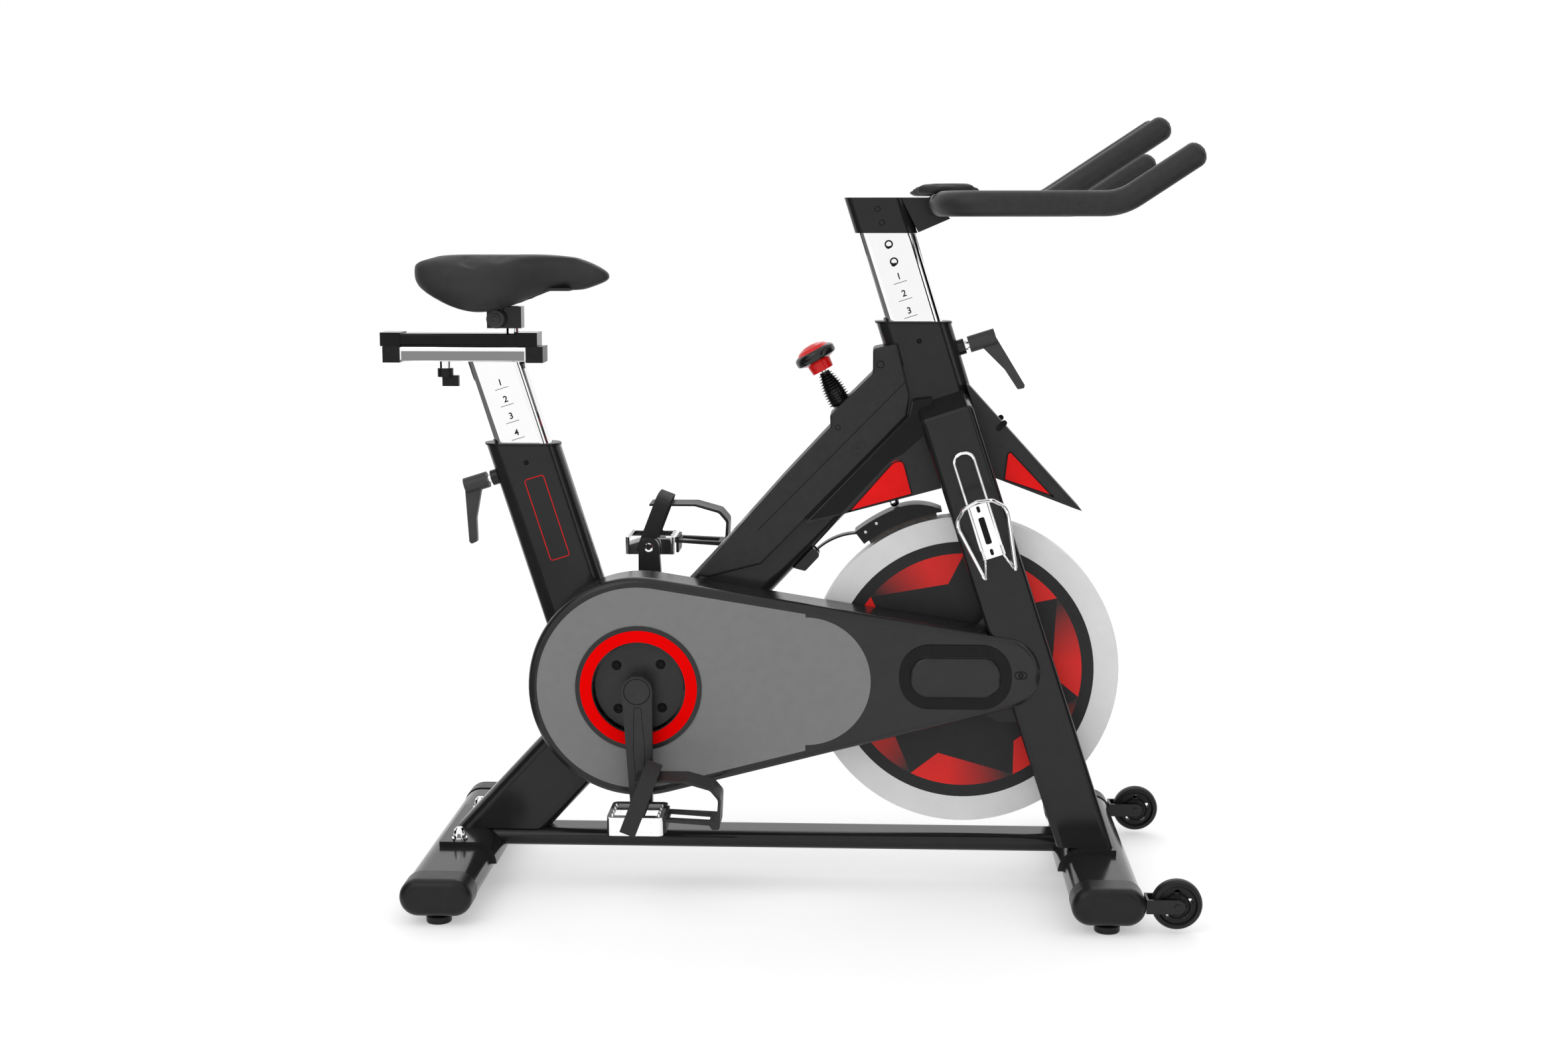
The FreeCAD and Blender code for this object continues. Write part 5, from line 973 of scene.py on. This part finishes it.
def makeCageSlots():
    # openings punched in the bottle cage's back plate, drawn as dark insets
    lean = math.radians(cageSlots["lean"])
    up = Vector((-math.sin(lean), 0, math.cos(lean)))
    x, z = cageSlots["middle"]
    middle = Vector((x * mm, -0.08905, z * mm))
    bm = bmesh.new()
    addOutline(bm, box4(*[size * mm for size in cageSlots["slot"]]), facing(middle, (0, -1, 0), up), 0.0002,
               round=0.0024)
    for end in (-1, 1):
        addOutline(bm, box4(*[size * mm for size in cageSlots["eye"]]),
                   facing(middle + up * end * cageSlots["eyeReach"] * mm, (0, -1, 0), up), 0.0002, round=0.00228)
    addPiece(bm, "cagePlateSlots", "frame", "chrome", materials["screwAndShadeBlack"])


saddleClamp = {"pivot": (-397.7, 795.5), "washer": 12.4, "nut": 7.4, "stub": (-378.3, 774.9, 781.8), "stubRadius": 10.15}


def makeSaddleClamp():
    low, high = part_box("saddle_clamp")
    x, z = saddleClamp["pivot"]
    bm = bmesh.new()
    for y, side in ((low.y, -1), (high.y, 1)):
        place = facing(Vector((x * mm, y, z * mm)), (0, side, 0))
        radius = saddleClamp["washer"] * mm
        addSpun(bm, [(0, 0.0012), (radius * 0.94, 0.0012), (radius, 0.0006), (radius, -0.0005)], place, 40)
        nut = saddleClamp["nut"] * mm
        corners = [(nut * math.cos(math.radians(turn)), nut * math.sin(math.radians(turn)))
                   for turn in range(0, 360, 60)]
        addOutline(bm, corners, place, 0.0052, round=0.0006, segments=2)
        addSpun(bm, [(0, 0.0044), (nut * 0.42, 0.0044), (nut * 0.5, 0.0062), (nut * 0.6, 0.0058), (nut * 0.62, 0.005)],
                place, 24)
    addPiece(bm, "saddleNuts", "seat_carriage", "shroud_plastic", materials["lever_grey"])
    x, bottom, top = saddleClamp["stub"]
    radius = saddleClamp["stubRadius"] * mm
    bm = bmesh.new()
    addSpun(bm, [(radius * 0.9, bottom * mm), (radius, bottom * mm), (radius, top * mm), (radius * 0.9, top * mm),
                 (radius * 0.9, bottom * mm)], Matrix.Translation((x * mm, 0, 0)), 40)
    addPiece(bm, "saddleStubSleeve", "seat_carriage", "chrome")


discBolts = {"reach": 43.2, "radius": 6.8, "turn": 46.7}


def makeDiscBolts():
    centre = midOf("drive_disc")
    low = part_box("drive_disc")[0]
    bm = bmesh.new()
    for quarter in range(4):
        angle = math.radians(discBolts["turn"] + 90 * quarter)
        spot = Vector((centre.x + discBolts["reach"] * mm * math.cos(angle), low.y,
                       centre.z + discBolts["reach"] * mm * math.sin(angle)))
        radius = discBolts["radius"] * mm
        addSpun(bm, [(0, 0.0002), (radius * 0.45, 0.0002), (radius * 0.55, 0.0016), (radius * 0.7, 0.0018),
                     (radius * 0.74, 0.0002), (radius * 0.86, 0.0002), (radius * 0.92, 0.0008), (radius, 0.0)],
                facing(spot, (0, -1, 0)), 24)
    addPiece(bm, "discBolts", "crankset", "crank_steel", materials["screwAndShadeBlack"])


makeTubeRivets()
makeLabelFrame()
makeShroudTrim()
materials["gripBlack"] = bikeFinish("gripBlack", {"colour": (0.006, 0.006, 0.006), "shade": (0.01, 0.01, 0.01),
                                                  "rough": 0.14, "texture": "grain", "scale": 800, "depth": 0.01,
                                                  "specular": 0.45, "dust": 0.0})
makeFenderTrim()
makeKnobBand()
makeBellows()
makeBrakeRivets()
makeCageSlots()
makeSaddleClamp()
makeGuardBoss()
makeGuardScrew()
makeFenderSlots()
makeDiscBolts()
print("screws and covers in place")


# cranks and pedals

crankLine = {"top": 22, "length": 118, "width": 16.5, "line": 0.7, "capRadius": 18.4}


def makeCrankTrim():
    for side, name in ((-1, "right"), (1, "left")):
        low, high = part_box(name + "_crank")
        axle = midOf("crank_axle")
        y = axle.y + side * (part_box("crank_axle")[1].y - axle.y)
        along = midOf(name + "_pedal") - axle
        along.y = 0
        along.normalize()
        bm = bmesh.new()
        centre = Vector((axle.x, y, axle.z)) + along * (crankLine["top"] + crankLine["length"] / 2) * mm
        half, wide = crankLine["length"] / 2 * mm, crankLine["width"] / 2 * mm
        corners = [(-wide * 0.7, -half), (wide * 0.7, -half), (wide, 0), (wide * 0.62, half), (-wide * 0.62, half),
                   (-wide, 0)]
        addRing(bm, corners, facing(centre, (0, side, 0), -along), crankLine["line"] * mm, 0.0002,
                round=0.002, segments=3)
        radius = crankLine["capRadius"] * mm
        addSpun(bm, [(radius, 0.0002), (radius * 0.98, 0.0005), (radius * 0.955, 0.0005), (radius * 0.94, 0.0)],
                facing(Vector((axle.x, y, axle.z)), (0, side, 0)), 48)
        addPiece(bm, name + "CrankLines", "crankset", "crank_steel", materials["screwAndShadeBlack"])
        # polished end of the pedal spindle in the crank's inner face
        spindle = midOf(name + "_pedal")
        inner = low.y if side > 0 else high.y
        bm = bmesh.new()
        addSpun(bm, [(0.0028, -0.0004), (0.0034, 0.0008), (0.0058, 0.0011), (0.0068, 0.0001), (0.0068, -0.0004)],
                facing(Vector((spindle.x, inner, spindle.z)), (0, -side, 0)), 32)
        addPiece(bm, name + "SpindleEnd", "crankset", "chrome")


strapShape = {"lean": 21, "width": 22, "thick": 1.8, "low": -10, "high": 87, "round": 18, "footX": -10}


def strapFinish():
    return bikeFinish("strapWebbing", {"colour": (0.03, 0.03, 0.031), "shade": (0.045, 0.045, 0.047), "rough": 0.75,
                                       "texture": "weave", "depth": 0.25, "dust": 0.0, "unwrapped": True})


def makeStrap(side, name):
    low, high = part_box(name + "_pedal")
    mid = (low + high) / 2
    lean = math.radians(strapShape["lean"])
    up = Vector((math.sin(lean), 0, math.cos(lean)))
    wide = Vector((math.cos(lean), 0, -math.sin(lean)))
    near, far = high.y + 0.0028, low.y - 0.0028
    round_, top = strapShape["round"] * mm, strapShape["high"] * mm
    path = [(near, 0.0), (near, top * 0.35), (near - 0.001, top - round_)]
    for turn in (30, 60, 90):
        path.append((near - round_ + round_ * math.cos(math.radians(turn)),
                     top - round_ + round_ * math.sin(math.radians(turn))))
    path += [(mid.y, top + 0.001)]
    path += [(near + far - y, rise) for y, rise in reversed(path[:-1])]
    base = Vector((mid.x + strapShape["footX"] * mm, 0, mid.z + strapShape["low"] * mm))
    bm = bmesh.new()
    half = strapShape["width"] / 2 * mm
    points = [Vector((base.x, y, base.z)) + up * rise for y, rise in path]
    first = [bm.verts.new(points[0] - wide * half), bm.verts.new(points[0] + wide * half)]
    edges = [bm.edges.new(first)]
    for before, after in zip(points, points[1:]):
        made = bmesh.ops.extrude_edge_only(bm, edges=edges)
        edges = [g for g in made["geom"] if isinstance(g, bmesh.types.BMEdge)
                 and all(v in made["geom"] for v in g.verts)]
        moved = [g for g in made["geom"] if isinstance(g, bmesh.types.BMVert)]
        bmesh.ops.translate(bm, verts=moved, vec=after - before)
    unwrap = bm.loops.layers.uv.new("strap")
    run = 0.0
    bm.faces.ensure_lookup_table()
    for index, face in enumerate(bm.faces):
        length = (points[index + 1] - points[index]).length
        for loop in face.loops:
            spot = loop.vert.co
            step = 0 if (spot - points[index]).length < (spot - points[index + 1]).length else length
            across = (spot - base).dot(wide)
            loop[unwrap].uv = ((across / half + 1) / 2, (run + step) * 10)
        run += length
    piece = addPiece(bm, name + "ToeStrap", name + "_pedal", "rubber", materials["strapWebbing"], 60)
    thick = piece.modifiers.new("thick", "SOLIDIFY")
    thick.thickness = strapShape["thick"] * mm
    thick.offset = 0
    soft = piece.modifiers.new("soft", "BEVEL")
    soft.width = 0.0005
    soft.segments = 2
    soft.limit_method = "ANGLE"
    soft.angle_limit = math.radians(60)


pedalTrim = {"plateProud": 1.0, "toothHeight": 2.2, "toothCount": 4}


def makePedalTrim(side, name):
    low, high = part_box(name + "_pedal")
    mid = (low + high) / 2
    bm = bmesh.new()
    size = high - low
    # outer side plate with a stepped panel
    y = low.y if side < 0 else high.y
    place = facing(Vector((mid.x, y, mid.z)), (0, side, 0))
    addOutline(bm, box4(size.x * 0.74, size.z * 0.86), place, pedalTrim["plateProud"] * mm, round=0.002)
    addRing(bm, box4(size.x * 0.62, size.z * 0.62), facing(Vector((mid.x, y + side * 0.001, mid.z)), (0, side, 0)),
            0.0016, 0.0006, round=0.001)
    # grip teeth along the two long edges of the top and the underside
    for z, normal in ((high.z, 1), (low.z, -1)):
        for edge in (-0.41, 0.41):
            for tooth in range(pedalTrim["toothCount"]):
                at = Vector((mid.x + size.x * edge, low.y + size.y * (0.2 + 0.2 * tooth), z))
                addOutline(bm, box4(0.003, 0.007), facing(at, (0, 0, normal), (0, 1, 0)),
                           pedalTrim["toothHeight"] * mm, round=0.0008)
    # barrel round the spindle
    addSpun(bm, [(0.0085, 0.012), (0.0095, 0.013), (0.0095, size.y - 0.013), (0.0085, size.y - 0.012)],
            facing(Vector((mid.x, low.y, mid.z)), (0, 1, 0)), 24)
    addPiece(bm, name + "PedalPlates", name + "_pedal", "zinc_steel", materials["chrome"])


materials["strapWebbing"] = strapFinish()
makeCrankTrim()
for side, name in ((-1, "right"), (1, "left")):
    makeStrap(side, name)
    makePedalTrim(side, name)
print("cranks and pedals dressed")


# seat rail, casters

railPlate = {"low": 737.5, "high": 750.5, "proud": 0.25}


def makeRailPlates():
    # painted reflection: a grey plate on each side of the chrome rail stands in for the grey that the rail's side
    # reflects
    low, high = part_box("seat_rail_caps")
    materials["railReflectionGrey"] = bikeFinish("railReflectionGrey", {"colour": (0.25, 0.25, 0.255), "shade": (0.28, 0.28, 0.285),
                                                    "rough": 0.4, "metal": 0.2, "texture": "brushed",
                                                    "stretch": (30, 900, 900), "depth": 0.01, "dust": 0.0})
    bm = bmesh.new()
    start, end = low.x + 0.026, high.x - 0.026
    for side in (-1, 1):
        place = facing(Vector(((start + end) / 2, side * 0.02, (railPlate["low"] + railPlate["high"]) / 2 * mm)),
                       (0, side, 0))
        addOutline(bm, box4(end - start, (railPlate["high"] - railPlate["low"]) * mm), place,
                   railPlate["proud"] * mm, round=0.001)
    addPiece(bm, "seatRailPaintedReflection", "seat_post", "chrome", materials["railReflectionGrey"])


casterHub = {"radius": 17.0, "slots": 5, "slotSize": (5.0, 9.0), "slotReach": 11.0, "nut": 5.5}


def makeCasterHubs():
    for name in ("right", "left"):
        low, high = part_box(name + "_caster_wheel")
        mid = (low + high) / 2
        bm = bmesh.new()
        for y, side in ((low.y, -1), (high.y, 1)):
            radius = casterHub["radius"] * mm
            spot = Vector((mid.x, y, mid.z))
            addSpun(bm, [(0, 0.0), (radius * 0.9, 0.0), (radius * 0.96, 0.0012), (radius, 0.0)],
                    facing(spot - Vector((0, side * 0.001, 0)), (0, side, 0)), 40)
            for slot in range(casterHub["slots"]):
                angle = math.tau * slot / casterHub["slots"] + 0.3
                out = Vector((math.cos(angle), 0, math.sin(angle)))
                place = facing(spot + out * casterHub["slotReach"] * mm, (0, side, 0), out)
                addRing(bm, box4(casterHub["slotSize"][1] * mm, casterHub["slotSize"][0] * mm), place, 0.0007,
                        0.0006, round=0.0022, segments=4)
        addPiece(bm, name + "CasterHub", name + "_caster_wheel", "wheel_rubber", materials["black_plastic"])


makeRailPlates()
makeCasterHubs()
print("rail plates and caster hubs on")


print("pieces done")
